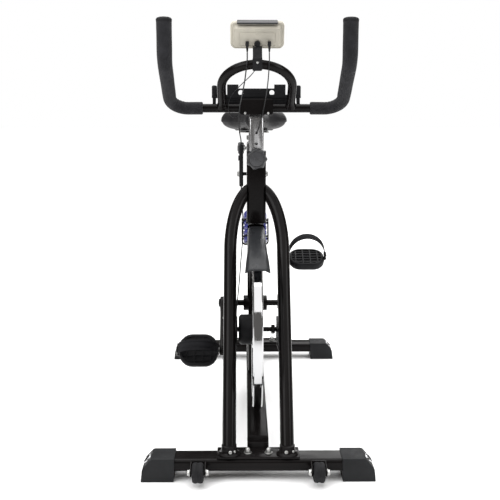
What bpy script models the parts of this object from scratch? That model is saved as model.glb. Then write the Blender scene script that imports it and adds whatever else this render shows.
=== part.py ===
"""An upright belt-driven exercise bike as separate pieces, in metres, with +Z up.

The bike faces -Y, so the rider's right is -X. The origin is on the floor, at the middle of
the bike's outer box. Each piece is one object, named for what it is. A turning or sliding
piece has its own origin on its joint's axis.
"""

import math

import bmesh
import bpy
from mathutils import Matrix, Vector

# Clearance left between pieces that touch.
GAP = 0.0003

# Floor supports.
SUPPORT_WIDTH = 0.540
SUPPORT_SPACING = 0.910
SUPPORT_FRONT_Y = -0.4435
SUPPORT_REAR_Y = SUPPORT_FRONT_Y + SUPPORT_SPACING
# Moves the finished bike so that its outer box is centred over the origin.
BOX_SHIFT = 0.0124
SUPPORT_DEPTH = 0.060
SUPPORT_LOW = 0.023
SUPPORT_TOP = 0.053
CAP_LENGTH = 0.078
CAP_DEPTH = 0.064
CAP_HEIGHT = 0.0555

# Flywheel and drive.
WHEEL_Y = -0.2305
WHEEL_Z = 0.2935
WHEEL_RADIUS = 0.197
RIM_WIDTH = 0.024
AXLE_RADIUS = 0.006
CRANK_Y = 0.0795
CRANK_Z = 0.286
CRANK_LENGTH = 0.170
CRANK_ANGLE = math.radians(37.0)
CRANK_AXLE_RADIUS = 0.0085
SMALL_PULLEY_RADIUS = 0.034
LARGE_PULLEY_RADIUS = 0.092
BELT_X = -0.067
BELT_WIDTH = 0.012
BELT_THICKNESS = 0.003

# Frame tubes.
LEG_RADIUS = 0.016
LEG_X = 0.067
LEG_FOOT_Y = -0.4455
LEG_FOOT_Z = 0.080
LEG_SLOPE = 0.617
ARCH_START_Z = 0.490
ARCH_HEIGHT = 0.150
HEAD_Y = -0.0905
HEAD_SIZE = 0.050
HEAD_LOW = 0.547
HEAD_TOP = 0.7325
HEAD_KNOB_Z = 0.716
RAIL_WIDTH = 0.050
RAIL_LOW = SUPPORT_TOP + GAP
RAIL_TOP = 0.085
SEAT_TUBE_LEAN = math.atan(0.435)
SEAT_TUBE_SIZE = 0.045
# The seat tube's own directions: along it, and out of its rear face.
SEAT_UP = Vector((0, math.sin(SEAT_TUBE_LEAN), math.cos(SEAT_TUBE_LEAN)))
SEAT_REAR = Vector((0, math.cos(SEAT_TUBE_LEAN), -math.sin(SEAT_TUBE_LEAN)))
MAIN_TUBE_DROP = math.radians(28.0)
MAIN_TUBE_START = (-0.098, 0.5235)
MAIN_TUBE_LENGTH = 0.240
MAIN_TUBE_WIDTH = 0.046
MAIN_TUBE_HEIGHT = 0.040

BRAKE_LEAN = math.radians(42.0)
BRAKE_PAD_CLEARANCE = 0.003
BRAKE_KNOB_START = 0.313

# Handlebar.
POST_SIZE = 0.038
POST_LOW = 0.637
POST_TOP = 0.8277
HOLE_PITCH = 0.028
HOLE_HIGHEST = 0.782
BAR_RADIUS = 0.011
GRIP_SIDES = 12
BAR_Y = -0.1105
BAR_Z = 0.844
BAR_HALF = 0.218
HORN_FORWARD = 0.150
HORN_RISE = 0.107
HORN_TOP = 1.047
LOOP_HALF = 0.087
LOOP_LEG = 0.089
STEM_WIDTH = 0.084
STEM_LOW = 0.828
STEM_HIGH = 0.868
CONSOLE_Y = -0.2405
CONSOLE_Z = 1.0125
CONSOLE_LEAN = math.radians(25.0)
CONSOLE_WIDTH = 0.128
CONSOLE_HEIGHT = 0.066
CONSOLE_DEPTH = 0.030
PLUG_TOP = 0.9985
PLUG_LOW = 0.9740
PLUG_Y = -0.2570
PLUG_X = {"right": -0.024, "left": 0.028}

# Saddle.
SLIDE_BAR_WIDTH = 0.041
SLIDE_BAR_HEIGHT = 0.031
SLIDE_BAR_Z = 0.7235
SLIDE_BAR_FRONT = 0.1895
SLIDE_BAR_LENGTH = 0.225
SADDLE_Y = 0.3095
SADDLE_LENGTH = 0.265
SADDLE_WIDTH = 0.212
SADDLE_LOW = 0.774
SLEEVE_FRONT = 0.218
SLEEVE_LENGTH = 0.088

# Pedals.
PEDAL_WIDTH = 0.106
PEDAL_LENGTH = 0.090
PEDAL_THICK = 0.024

# Bottle.
BOTTLE_RADIUS = 0.0335
BOTTLE_LENGTH = 0.092
BOTTLE_BASE = 0.163

# Guard beside the head tube.
GUARD_X = -0.0392
GUARD_TOP = 0.751
GUARD_LOW = 0.642
HEAD_BOLT_Z = 0.675

# Each lead's route, by points along its middle, and its diameter.
LEADS = {
    "console_lead": (
        0.0030,
        [
            (-0.0240, -0.2570, 0.9735),
            (-0.0240, -0.2572, 0.9680),
            (-0.0241, -0.2635, 0.9570),
            (-0.0255, -0.2718, 0.9430),
            (-0.0290, -0.2600, 0.9140),
            (-0.0340, -0.2250, 0.8860),
            (-0.0390, -0.1820, 0.8640),
            (-0.0425, -0.1500, 0.8440),
            (-0.0445, -0.1290, 0.8180),
            (-0.0435, -0.1120, 0.7860),
            (-0.0402, -0.0950, 0.7660),
            (-0.0393, -0.0916, 0.7560),
            (-0.0392, -0.0915, 0.7515),
        ],
    ),
    "pulse_lead": (
        0.0026,
        [
            (0.0280, -0.2570, 0.9735),
            (0.0280, -0.2572, 0.9680),
            (0.0279, -0.2635, 0.9570),
            (0.0272, -0.2718, 0.9430),
            (0.0258, -0.2580, 0.9140),
            (0.0235, -0.2200, 0.8860),
            (0.0210, -0.1800, 0.8660),
            (0.0190, -0.1520, 0.8500),
            (0.0160, -0.1400, 0.8330),
            (0.0110, -0.1350, 0.8130),
            (0.0050, -0.1260, 0.7930),
            (0.0015, -0.1160, 0.7840),
            (0.0000, -0.1100, 0.7820),
        ],
    ),
    "grip_lead": (
        0.0020,
        [
            (0.0080, -0.2330, 0.9788),
            (0.0070, -0.2330, 0.9640),
            (0.0010, -0.2340, 0.9440),
            (-0.0140, -0.2240, 0.9230),
            (-0.0350, -0.1960, 0.9040),
            (-0.0540, -0.1640, 0.8860),
            (-0.0670, -0.1380, 0.8680),
            (-0.0715, -0.1270, 0.8500),
            (-0.0700, -0.1255, 0.8350),
            (-0.0640, -0.1250, 0.8240),
            (-0.0560, -0.1220, 0.8210),
            (-0.0480, -0.1200, 0.8260),
            (-0.0424, -0.1190, 0.8300),
        ],
    ),
    "sensor_lead": (
        0.0030,
        [
            (-0.0392, -0.0900, 0.6417),
            (-0.0390, -0.0900, 0.6200),
            (-0.0365, -0.0920, 0.5850),
            (-0.0345, -0.1020, 0.5450),
            (-0.0360, -0.1250, 0.5050),
            (-0.0400, -0.1580, 0.4600),
            (-0.0440, -0.1880, 0.4120),
            (-0.0485, -0.2110, 0.3680),
            (-0.0515, -0.2220, 0.3420),
            (-0.0520, -0.2255, 0.3262),
        ],
    ),
}

FINISHES = {}


def add_finish(name, colour, roughness, metallic=0.0):
    finish = bpy.data.materials.new(name)
    finish.use_nodes = True
    shader = finish.node_tree.nodes["Principled BSDF"]
    shader.inputs["Base Color"].default_value = (*colour, 1.0)
    shader.inputs["Roughness"].default_value = roughness
    shader.inputs["Metallic"].default_value = metallic
    FINISHES[name] = finish


def add_finishes():
    add_finish("black_paint", (0.012, 0.011, 0.011), 0.18)
    add_finish("black_plastic", (0.028, 0.028, 0.030), 0.50)
    add_finish("fender_plastic", (0.070, 0.072, 0.075), 0.35)
    add_finish("foam", (0.027, 0.027, 0.030), 0.90)
    add_finish("polished_steel", (0.75, 0.75, 0.76), 0.10, 1.0)
    add_finish("satin_steel", (0.62, 0.62, 0.62), 0.30, 1.0)
    add_finish("zinc", (0.55, 0.56, 0.58), 0.38, 1.0)
    add_finish("console_shell", (0.55, 0.52, 0.46), 0.55)
    add_finish("console_bezel", (0.72, 0.70, 0.65), 0.30)
    add_finish("vinyl", (0.045, 0.043, 0.045), 0.55)
    add_finish("rubber", (0.015, 0.015, 0.015), 0.80)
    add_finish("bottle_blue", (0.04, 0.04, 0.19), 0.30)
    add_finish("felt", (0.10, 0.09, 0.08), 0.95)


# ---------------------------------------------------------------- shape tools


def as_object(name, bm, finish, at=(0, 0, 0), turn=(0, 0, 0)):
    bmesh.ops.remove_doubles(bm, verts=bm.verts[:], dist=1e-6)
    bmesh.ops.recalc_face_normals(bm, faces=bm.faces[:])
    mesh = bpy.data.meshes.new(name)
    bm.to_mesh(mesh)
    bm.free()
    mesh.shade_smooth()
    mesh.set_sharp_from_angle(angle=math.radians(35))
    mesh.materials.append(FINISHES[finish])
    obj = bpy.data.objects.new(name, mesh)
    obj.location = at
    obj.rotation_euler = turn
    bpy.context.collection.objects.link(obj)
    return obj


def combine(obj, bm, operation, at=(0, 0, 0), turn=(0, 0, 0)):
    """Joins a shape to obj, or cuts it out of obj, with a live Boolean."""
    number = len(obj.modifiers) + 1
    tool = as_object(f"{obj.name}_{operation.lower()}_{number}", bm, "zinc", at, turn)
    tool.hide_render = True
    tool.display_type = "WIRE"
    step = obj.modifiers.new(tool.name, "BOOLEAN")
    step.operation = operation
    step.solver = "EXACT"
    step.object = tool
    return obj


def block(size, centre=(0, 0, 0), bevel=0.0, segments=1):
    bm = bmesh.new()
    bmesh.ops.create_cube(bm, size=1.0)
    bmesh.ops.scale(bm, vec=size, verts=bm.verts[:])
    if bevel:
        bmesh.ops.bevel(
            bm, geom=bm.edges[:], offset=bevel, segments=segments, profile=0.5, affect="EDGES"
        )
    bmesh.ops.translate(bm, vec=centre, verts=bm.verts[:])
    return bm


def rounded_rectangle(width, depth, radius, steps=3):
    points = []
    for corner in range(4):
        centre_x = (width / 2 - radius) * (1 if corner in (0, 3) else -1)
        centre_y = (depth / 2 - radius) * (1 if corner in (0, 1) else -1)
        for step in range(steps + 1):
            angle = math.pi / 2 * (corner + step / steps)
            points.append(
                (centre_x + radius * math.cos(angle), centre_y + radius * math.sin(angle))
            )
    return points


def circle(radius, sides, start=0.0):
    turns = [start + math.tau * side / sides for side in range(sides)]
    return [(radius * math.cos(turn), radius * math.sin(turn)) for turn in turns]


def loft(rings, holes=None):
    """Skins matching rings of points, closing the ends, with an optional bore of matching rings."""
    bm = bmesh.new()
    skins = []
    for stations in [rings] + ([holes] if holes else []):
        rows = [[bm.verts.new(point) for point in ring] for ring in stations]
        skins.append(rows)
        for row, following in zip(rows, rows[1:]):
            for side in range(len(row)):
                after = (side + 1) % len(row)
                bm.faces.new((row[side], row[after], following[after], following[side]))
    for end in (0, -1):
        outer = skins[0][end]
        if holes is None:
            bm.faces.new(outer)
            continue
        inner = skins[1][end]
        for side in range(len(outer)):
            after = (side + 1) % len(outer)
            bm.faces.new((outer[side], outer[after], inner[after], inner[side]))
    return bm


def prism(outline, length, hole=None):
    """An outline in X and Y, drawn out along +Z, with an optional hole of as many points."""
    rings = [[(x, y, height) for x, y in outline] for height in (0.0, length)]
    holes = hole and [[(x, y, height) for x, y in hole] for height in (0.0, length)]
    return loft(rings, holes)


def side_prism(outline, low_x, high_x):
    """An outline in Y and Z, drawn out along X."""
    return loft([[(x, y, z) for y, z in outline] for x in (low_x, high_x)])


def turned(profile, segments, ring=False):
    """A profile of (x, radius) points, turned about X. A ring's profile is a closed outline."""
    bm = bmesh.new()
    verts = [bm.verts.new((x, 0.0, radius)) for x, radius in profile]
    edges = [bm.edges.new(pair) for pair in zip(verts, verts[1:])]
    if ring:
        edges.append(bm.edges.new((verts[-1], verts[0])))
    bmesh.ops.spin(
        bm,
        geom=verts + edges,
        cent=(0, 0, 0),
        axis=(1, 0, 0),
        angle=math.tau,
        steps=segments,
        use_merge=True,
        use_duplicate=False,
    )
    return bm


def disc(low_x, high_x, radius, segments, chamfer=0.0):
    return turned(
        [
            (low_x, 0.0),
            (low_x, radius - chamfer),
            (low_x + chamfer, radius),
            (high_x - chamfer, radius),
            (high_x, radius - chamfer),
            (high_x, 0.0),
        ],
        segments,
    )


def collar(low_x, high_x, bore, radius, segments, chamfer=0.0):
    return turned(
        [
            (low_x, bore),
            (low_x, radius - chamfer),
            (low_x + chamfer, radius),
            (high_x - chamfer, radius),
            (high_x, radius - chamfer),
            (high_x, bore),
        ],
        segments,
        ring=True,
    )


def arc(centre, radius, first, last, steps):
    """Points on an arc in a plane, from one angle in degrees to another."""
    angles = [math.radians(first + (last - first) * step / steps) for step in range(steps + 1)]
    return [(centre[0] + radius * math.cos(a), centre[1] + radius * math.sin(a)) for a in angles]


def rounded_path(corners, radius, steps=6):
    """A run of straight stretches with each corner turned into an arc."""
    corners = [Vector(corner) for corner in corners]
    path = [corners[0]]
    for before, here, after in zip(corners, corners[1:], corners[2:]):
        into = (here - before).normalized()
        out = (after - here).normalized()
        half = into.angle(out) / 2
        start = here - into * radius * math.tan(half)
        centre = here + (out - into).normalized() * radius / math.cos(half)
        axis = into.cross(out).normalized()
        for step in range(steps + 1):
            turn = Matrix.Rotation(2 * half * step / steps, 3, axis)
            path.append(centre + turn @ (start - centre))
    path.append(corners[-1])
    return path


def rings_along(path, radii, sides):
    """Circles square to a path, carried along it without twisting."""
    path = [Vector(point) for point in path]
    steps = [(after - before).normalized() for before, after in zip(path, path[1:])]
    across = steps[0].orthogonal().normalized()
    rings = []
    for index, point in enumerate(path):
        before = steps[max(index - 1, 0)]
        after = steps[min(index, len(steps) - 1)]
        along = (before + after).normalized()
        across = (across - along * across.dot(along)).normalized()
        other = along.cross(across)
        ring = circle(radii[index], sides)
        rings.append([point + across * x + other * y for x, y in ring])
    return rings


def rod(path, radius, sides=12):
    path = [Vector(point) for point in path]
    return loft(rings_along(path, [radius] * len(path), sides))


def smooth_route(points, spacing):
    """Even points on a smooth curve through a route's own points."""
    points = [Vector(point) for point in points]
    points = [2 * points[0] - points[1]] + points + [2 * points[-1] - points[-2]]
    fine = []
    for a, b, c, d in zip(points, points[1:], points[2:], points[3:]):
        for step in range(24):
            t = step / 24
            fine.append(
                0.5
                * (
                    2 * b
                    + (c - a) * t
                    + (2 * a - 5 * b + 4 * c - d) * t**2
                    + (3 * b - a - 3 * c + d) * t**3
                )
            )
    fine.append(points[-2])
    total = sum((after - before).length for before, after in zip(fine, fine[1:]))
    count = max(2, round(total / spacing))
    even = [fine[0]]
    wanted = total / count
    travelled = 0.0
    for before, after in zip(fine, fine[1:]):
        length = (after - before).length
        while travelled + length >= wanted * len(even) and len(even) < count:
            part = (wanted * len(even) - travelled) / length
            even.append(before.lerp(after, part))
        travelled += length
    even.append(fine[-1])
    return even


# ---------------------------------------------------------------- floor supports


def make_supports():
    tube = rounded_rectangle(
        SUPPORT_DEPTH, SUPPORT_TOP - SUPPORT_LOW, radius=0.010, steps=3
    )
    pocket = 0.042
    half = SUPPORT_WIDTH / 2
    inner = half - CAP_LENGTH
    middle = (SUPPORT_LOW + SUPPORT_TOP) / 2
    cap_outline = [
        (inner + 0.004, 0.0),
        (half - 0.003, 0.0),
        (half, 0.003),
        (half, 0.025),
        (half - 0.004, 0.033),
        (half - 0.023, CAP_HEIGHT - 0.002),
        (half - 0.027, CAP_HEIGHT),
        (inner, CAP_HEIGHT),
    ]
    for place, support_y in (("front", SUPPORT_FRONT_Y), ("rear", SUPPORT_REAR_Y)):
        reach = inner + pocket
        bm = side_prism([(y, z + middle) for y, z in tube], -reach, reach)
        as_object(f"{place}_stabiliser", bm, "black_paint", at=(0, support_y, 0))
        for side, sign in (("left", 1), ("right", -1)):
            ends = (-CAP_DEPTH / 2, CAP_DEPTH / 2)
            bm = loft([[(sign * x, y, z) for x, z in cap_outline] for y in ends])
            bmesh.ops.recalc_face_normals(bm, faces=bm.faces[:])
            long_edges = [edge for edge in bm.edges if len(edge.link_faces) == 2]
            sharp = [edge for edge in long_edges if edge.calc_face_angle() > 1.2]
            bmesh.ops.bevel(
                bm, geom=sharp, offset=0.003, segments=2, profile=0.5, affect="EDGES"
            )
            cap = as_object(f"{place}_end_cap_{side}", bm, "black_plastic", at=(0, support_y, 0))
            room = rounded_rectangle(
                SUPPORT_DEPTH + 2 * GAP, SUPPORT_TOP - SUPPORT_LOW + 2 * GAP, radius=0.010, steps=3
            )
            ends = sorted((sign * (inner - 0.010), sign * (reach + GAP)))
            cut = side_prism([(y, z + middle) for y, z in room], *ends)
            combine(cap, cut, "DIFFERENCE", at=(0, support_y, 0))


def make_transport_wheels():
    wheel_x = 0.137
    wheel_radius = 0.023
    wheel_width = 0.026
    axle_radius = 0.004
    axle_z = 0.035
    front = SUPPORT_FRONT_Y - SUPPORT_DEPTH / 2 - GAP
    axle_y = front - wheel_radius - 0.0035
    cheek_outline = [
        (front, 0.027),
        (front, 0.052),
        (axle_y + 0.006, 0.048),
        (axle_y - 0.008, 0.041),
        (axle_y - 0.008, 0.029),
        (axle_y + 0.004, 0.025),
    ]
    for side, sign in (("left", 1), ("right", -1)):
        at = (sign * wheel_x, axle_y, axle_z)
        rim = [
            (-wheel_width / 2, axle_radius + 0.0004),
            (-wheel_width / 2, wheel_radius - 0.004),
            (-wheel_width / 2 + 0.004, wheel_radius),
            (wheel_width / 2 - 0.004, wheel_radius),
            (wheel_width / 2, wheel_radius - 0.004),
            (wheel_width / 2, axle_radius + 0.0004),
        ]
        as_object(f"transport_wheel_{side}", turned(rim, 20, ring=True), "rubber", at=at)
        inner = wheel_width / 2 + 0.002
        outer = inner + 0.003
        middle = sign * wheel_x
        bm = side_prism(cheek_outline, middle + inner, middle + outer)
        bracket = as_object(f"transport_bracket_{side}", bm, "black_paint")
        cheek = side_prism(cheek_outline, middle - outer, middle - inner)
        combine(bracket, cheek, "UNION")
        back = block((2 * outer, 0.003, 0.025), (middle, front - 0.0015, 0.0395))
        combine(bracket, back, "UNION")
        pin = disc(-outer - 0.006, outer + 0.006, axle_radius, 16)
        combine(bracket, pin, "UNION", at=at)


# ---------------------------------------------------------------- frame


def leg_y(height):
    return LEG_FOOT_Y + LEG_SLOPE * (height - LEG_FOOT_Z)


def make_hoop():
    foot = RAIL_LOW + 0.012
    legs = {}
    for side, sign in (("left", 1), ("right", -1)):
        path = [(sign * LEG_X, leg_y(foot), foot), (sign * LEG_X, leg_y(0.3), 0.3)]
        arch_steps = 9
        for step in range(arch_steps + 1):
            angle = math.radians(75) * step / arch_steps
            height = ARCH_START_Z + ARCH_HEIGHT * math.sin(angle)
            path.append((sign * LEG_X * math.cos(angle), leg_y(height), height))
        leg = as_object(f"hoop_leg_{side}", rod(path, LEG_RADIUS, 14), "black_paint")
        head = block((HEAD_SIZE + 2 * GAP, 0.2, 0.5), (0, HEAD_Y, HEAD_LOW + 0.1))
        combine(leg, head, "DIFFERENCE")
        floor = block((0.2, 0.2, 0.06), (sign * LEG_X, leg_y(foot), foot + 0.006 - 0.03))
        combine(leg, floor, "DIFFERENCE")
        flange = turned([(0, 0), (0, 0.025), (0.003, 0.025), (0.012, 0.018), (0.012, 0)], 20)
        base = RAIL_LOW + 0.006
        combine(
            leg,
            flange,
            "UNION",
            at=(sign * LEG_X, leg_y(base + 0.010), base + 0.001),
            turn=(0, -math.pi / 2, 0),
        )
        legs[side] = leg
    weld_dropouts(legs)


def facing(direction):
    """The turn that points a piece's own X axis in a direction."""
    return Vector(direction).to_track_quat("X", "Z").to_euler()


def make_head_and_main_tube():
    outline = rounded_rectangle(HEAD_SIZE, HEAD_SIZE, radius=0.008)
    bore = rounded_rectangle(POST_SIZE + 0.001, POST_SIZE + 0.001, radius=0.006)
    bm = prism(outline, HEAD_TOP - HEAD_LOW, hole=bore)
    head = as_object("head_tube", bm, "black_paint", at=(0, HEAD_Y, HEAD_LOW))
    threaded_hole = disc(-0.010, 0.010, 0.0055, 16)
    front = HEAD_Y - HEAD_SIZE / 2
    combine(head, threaded_hole, "DIFFERENCE", at=(0, front, HEAD_KNOB_Z), turn=(0, 0, math.pi / 2))

    start_y, start_z = MAIN_TUBE_START
    outline = rounded_rectangle(MAIN_TUBE_WIDTH, MAIN_TUBE_HEIGHT, radius=0.008)
    bm = prism(outline, MAIN_TUBE_LENGTH)
    turn = (-(math.pi / 2 + MAIN_TUBE_DROP), 0, 0)
    tube = as_object("main_tube", bm, "black_paint", at=(0, start_y, start_z), turn=turn)
    above = block((0.08, 0.08, 0.1), (0, HEAD_Y, HEAD_LOW - GAP + 0.05))
    combine(tube, above, "DIFFERENCE")
    axis = facing((0, math.sin(BRAKE_LEAN), math.cos(BRAKE_LEAN)))
    boss = disc(-0.035, -GAP, 0.011, 20, 0.001)
    combine(tube, boss, "UNION", at=brake_point(BRAKE_KNOB_START), turn=axis)
    bore = disc(-0.10, 0.02, 0.0055, 20)
    combine(tube, bore, "DIFFERENCE", at=brake_point(BRAKE_KNOB_START), turn=axis)


def seat_axis(height, across=0.0):
    """A point on the seat tube's axis, or a little in front of it or behind it."""
    return CRANK_Y + math.tan(SEAT_TUBE_LEAN) * (height - CRANK_Z) + across


def make_seat_tube():
    """The seat tube, the crank's bearing shell and the strut below it are welded together."""
    top = 0.640
    outline = rounded_rectangle(SEAT_TUBE_SIZE, SEAT_TUBE_SIZE, radius=0.008)
    bore = rounded_rectangle(0.0362, 0.0362, radius=0.005)
    length = (top - CRANK_Z) / math.cos(SEAT_TUBE_LEAN)
    foot = 0.175
    turn = (-SEAT_TUBE_LEAN, 0, 0)
    walls = [[(x, y, height) for x, y in outline] for height in (length, 0.004)]
    lining = [[(x, y, height) for x, y in bore] for height in (length, foot)]
    at = (0, CRANK_Y, CRANK_Z)
    tube = as_object("seat_tube", blind_loft(walls, lining), "black_paint", at, turn)
    shell = disc(-0.034, 0.034, 0.022, 24)
    combine(tube, shell, "UNION", at=(0, CRANK_Y, CRANK_Z))
    strut = prism(rounded_rectangle(0.040, 0.045, 0.006), CRANK_Z - RAIL_TOP - GAP)
    combine(tube, strut, "UNION", at=(0, CRANK_Y, RAIL_TOP + GAP))
    bearing = disc(-0.05, 0.05, CRANK_AXLE_RADIUS + 0.0006, 24)
    combine(tube, bearing, "DIFFERENCE", at=(0, CRANK_Y, CRANK_Z))
    start_y, start_z = MAIN_TUBE_START
    outline = rounded_rectangle(MAIN_TUBE_WIDTH + 2 * GAP, MAIN_TUBE_HEIGHT + 2 * GAP, 0.008)
    room = prism(outline, MAIN_TUBE_LENGTH + GAP)
    main_turn = (-(math.pi / 2 + MAIN_TUBE_DROP), 0, 0)
    combine(tube, room, "DIFFERENCE", at=(0, start_y, start_z), turn=main_turn)


def make_bottom_rail():
    """The floor rail, with a welded foot plate at each end for the support bolts."""
    half = (RAIL_TOP - RAIL_LOW) / 2
    outline = [
        (x, z + RAIL_LOW + half) for x, z in rounded_rectangle(RAIL_WIDTH, 2 * half, 0.006)
    ]
    front = SUPPORT_FRONT_Y + 0.034
    rear = SUPPORT_REAR_Y + 0.020
    bm = loft([[(x, y, z) for x, z in outline] for y in (front, rear)])
    rail = as_object("bottom_rail", bm, "black_paint")
    plate = block((0.184, 0.052, 0.006), (0, SUPPORT_REAR_Y, RAIL_LOW + 0.003), 0.001)
    combine(rail, plate, "UNION")
    plate = block((0.190, 0.056, 0.006), (0, SUPPORT_FRONT_Y, RAIL_LOW + 0.003), 0.001)
    combine(rail, plate, "UNION")
    gusset = block((RAIL_WIDTH, 0.020, 0.020), (0, front - 0.004, RAIL_LOW + 0.010), 0.001)
    combine(rail, gusset, "UNION")


def weld_dropouts(legs):
    """Plates welded behind the hoop's legs carry the flywheel's axle."""
    thickness = 0.006
    leg_back = leg_y(WHEEL_Z) + LEG_RADIUS / math.cos(math.atan(LEG_SLOPE))
    lean = LEG_SLOPE
    low = -0.030
    high = 0.034
    outline = [
        (leg_back - WHEEL_Y + lean * low - 0.010, low),
        (0.0, low),
        *arc((0.006, 0.002), 0.030, -80, 80, 8),
        (leg_back - WHEEL_Y + lean * high - 0.010, high),
    ]
    for side, sign in (("left", 1), ("right", -1)):
        ends = sorted((sign * 0.049, sign * (0.049 + thickness)))
        bm = side_prism(outline, *ends)
        combine(legs[side], bm, "UNION", at=(0, WHEEL_Y, WHEEL_Z))
        bore = disc(-0.07, 0.07, AXLE_RADIUS + 0.001, 24)
        combine(legs[side], bore, "DIFFERENCE", at=(0, WHEEL_Y, WHEEL_Z))


def make_fender():
    """The shroud over the flywheel's top, which rises to the foot of the head tube."""
    radius = 0.2195
    path = []
    for angle in (-36, -30, -24, -18, -14):
        turn = math.radians(angle)
        path.append((WHEEL_Y + radius * math.sin(turn), WHEEL_Z + radius * math.cos(turn), turn))
    rise = math.radians(-13)
    path.append((-0.165, 0.5265, rise))
    path.append((-0.1245, 0.5385, rise))
    rings = []
    for index, (y, z, turn) in enumerate(path):
        share = index / (len(path) - 1)
        half = 0.030 - 0.008 * share
        panel = 0.018 - 0.001 * share
        skin = 0.003
        section = [
            (-half, -0.009),
            (-panel - 0.004, -0.0005),
            (-panel - 0.001, 0.002),
            (panel + 0.001, 0.002),
            (panel + 0.004, -0.0005),
            (half, -0.009),
            (half - skin, -0.009),
            (panel + 0.002, -0.0035),
            (-panel - 0.002, -0.0035),
            (-half + skin, -0.009),
        ]
        rings.append(
            [(x, y + out * math.sin(turn), z + out * math.cos(turn)) for x, out in section]
        )
    as_object("wheel_fender", loft(rings), "fender_plastic")


# ---------------------------------------------------------------- flywheel and drive


def make_flywheel():
    at = (0, WHEEL_Y, WHEEL_Z)
    half = RIM_WIDTH / 2
    bore = AXLE_RADIUS + GAP
    profile = [
        (-half, WHEEL_RADIUS - 0.003),
        (-half + 0.003, WHEEL_RADIUS),
        (half - 0.003, WHEEL_RADIUS),
        (half, WHEEL_RADIUS - 0.003),
        (half, 0.165),
        (0.005, 0.160),
        (0.004, 0.052),
        (half, 0.046),
        (half, bore),
        (-half, bore),
        (-half, 0.046),
        (-0.004, 0.052),
        (-0.005, 0.160),
        (-half, 0.165),
    ]
    as_object("flywheel", turned(profile, 44, ring=True), "polished_steel", at=at)
    cover = collar(-0.046, -half - GAP, bore, 0.038, 20, 0.002)
    as_object("flywheel_hub_cover", cover, "black_plastic", at=at)
    axle = disc(-0.076, 0.064, AXLE_RADIUS, 20, 0.001)
    axle = as_object("flywheel_axle", axle, "zinc", at=at)
    combine(axle, disc(0.036, 0.046, 0.012, 6), "UNION", at=at)
    pulley = grooved_pulley(SMALL_PULLEY_RADIUS, bore, 20)
    as_object("small_pulley", pulley, "satin_steel", at=at)


def grooved_pulley(radius, bore, segments):
    half = BELT_WIDTH / 2 + 0.001
    lip = 0.003
    profile = [
        (BELT_X - half, bore),
        (BELT_X - half, radius + lip),
        (BELT_X - half + 0.0007, radius + lip),
        (BELT_X - half + 0.0007, radius),
        (BELT_X + half - 0.0007, radius),
        (BELT_X + half - 0.0007, radius + lip),
        (BELT_X + half, radius + lip),
        (BELT_X + half, bore),
    ]
    return turned(profile, segments, ring=True)


def belt_outline(small, large, steps):
    """The outline round two circles: on the flywheel's axle, and on the crank's."""
    gap = math.dist((WHEEL_Y, WHEEL_Z), (CRANK_Y, CRANK_Z))
    lean = math.degrees(math.atan2(CRANK_Z - WHEEL_Z, CRANK_Y - WHEEL_Y))
    spread = math.degrees(math.asin((large - small) / gap))
    front = arc((WHEEL_Y, WHEEL_Z), small, lean + 90 + spread, lean + 270 - spread, steps)
    rear = arc((CRANK_Y, CRANK_Z), large, lean - 90 - spread, lean + 90 + spread, steps * 2)
    return front + rear


def make_belt():
    outer_step = BELT_THICKNESS + 0.0009
    outer = belt_outline(
        SMALL_PULLEY_RADIUS + outer_step, LARGE_PULLEY_RADIUS + outer_step, 12
    )
    inner = belt_outline(SMALL_PULLEY_RADIUS + 0.0009, LARGE_PULLEY_RADIUS + 0.0009, 12)
    ends = (BELT_X - BELT_WIDTH / 2 + 0.001, BELT_X + BELT_WIDTH / 2 - 0.001)
    bm = loft(
        [[(x, y, z) for y, z in outer] for x in ends],
        [[(x, y, z) for y, z in inner] for x in ends],
    )
    as_object("drive_belt", bm, "rubber")


def make_belt_guard():
    """A tray over the belt that is open towards the flywheel."""
    outer = belt_outline(0.044, 0.105, 12)
    bm = side_prism(outer, -0.083, -0.0585)
    guard = as_object("belt_guard", bm, "black_plastic")
    inner = belt_outline(0.0415, 0.1025, 12)
    combine(guard, side_prism(inner, -0.0805, -0.05), "DIFFERENCE")
    opening = disc(-0.09, -0.06, 0.018, 24)
    combine(guard, opening, "DIFFERENCE", at=(0, CRANK_Y, CRANK_Z))


def brake_point(distance):
    """A point on the brake screw's axis, by its distance from the flywheel's axle."""
    return (
        0,
        WHEEL_Y + distance * math.sin(BRAKE_LEAN),
        WHEEL_Z + distance * math.cos(BRAKE_LEAN),
    )


def make_brake():
    """A felt pad over the flywheel's rim, on a screw that a knob drives through the main tube."""
    turn = (-BRAKE_LEAN, 0, 0)
    base = WHEEL_RADIUS + BRAKE_PAD_CLEARANCE
    shoe = 0.0095
    hollow = side_prism(
        [(y, z - base) for y, z in circle(WHEEL_RADIUS + BRAKE_PAD_CLEARANCE, 96)], -0.02, 0.02
    )
    pad = block((0.020, 0.038, 0.012), (0, 0, 0.0035))
    pad = as_object("brake_pad", pad, "felt", at=brake_point(base), turn=turn)
    combine(pad, hollow, "DIFFERENCE", at=brake_point(base), turn=turn)
    start = base + shoe - 0.002
    screw = disc(0, BRAKE_KNOB_START - GAP - start, 0.005, 16)
    spin = facing((0, math.sin(BRAKE_LEAN), math.cos(BRAKE_LEAN)))
    combine(pad, screw, "UNION", at=brake_point(start), turn=spin)
    as_object(
        "resistance_knob",
        star_knob(0.022, 0.020, 6),
        "black_plastic",
        at=brake_point(BRAKE_KNOB_START),
        turn=spin,
    )


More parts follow.
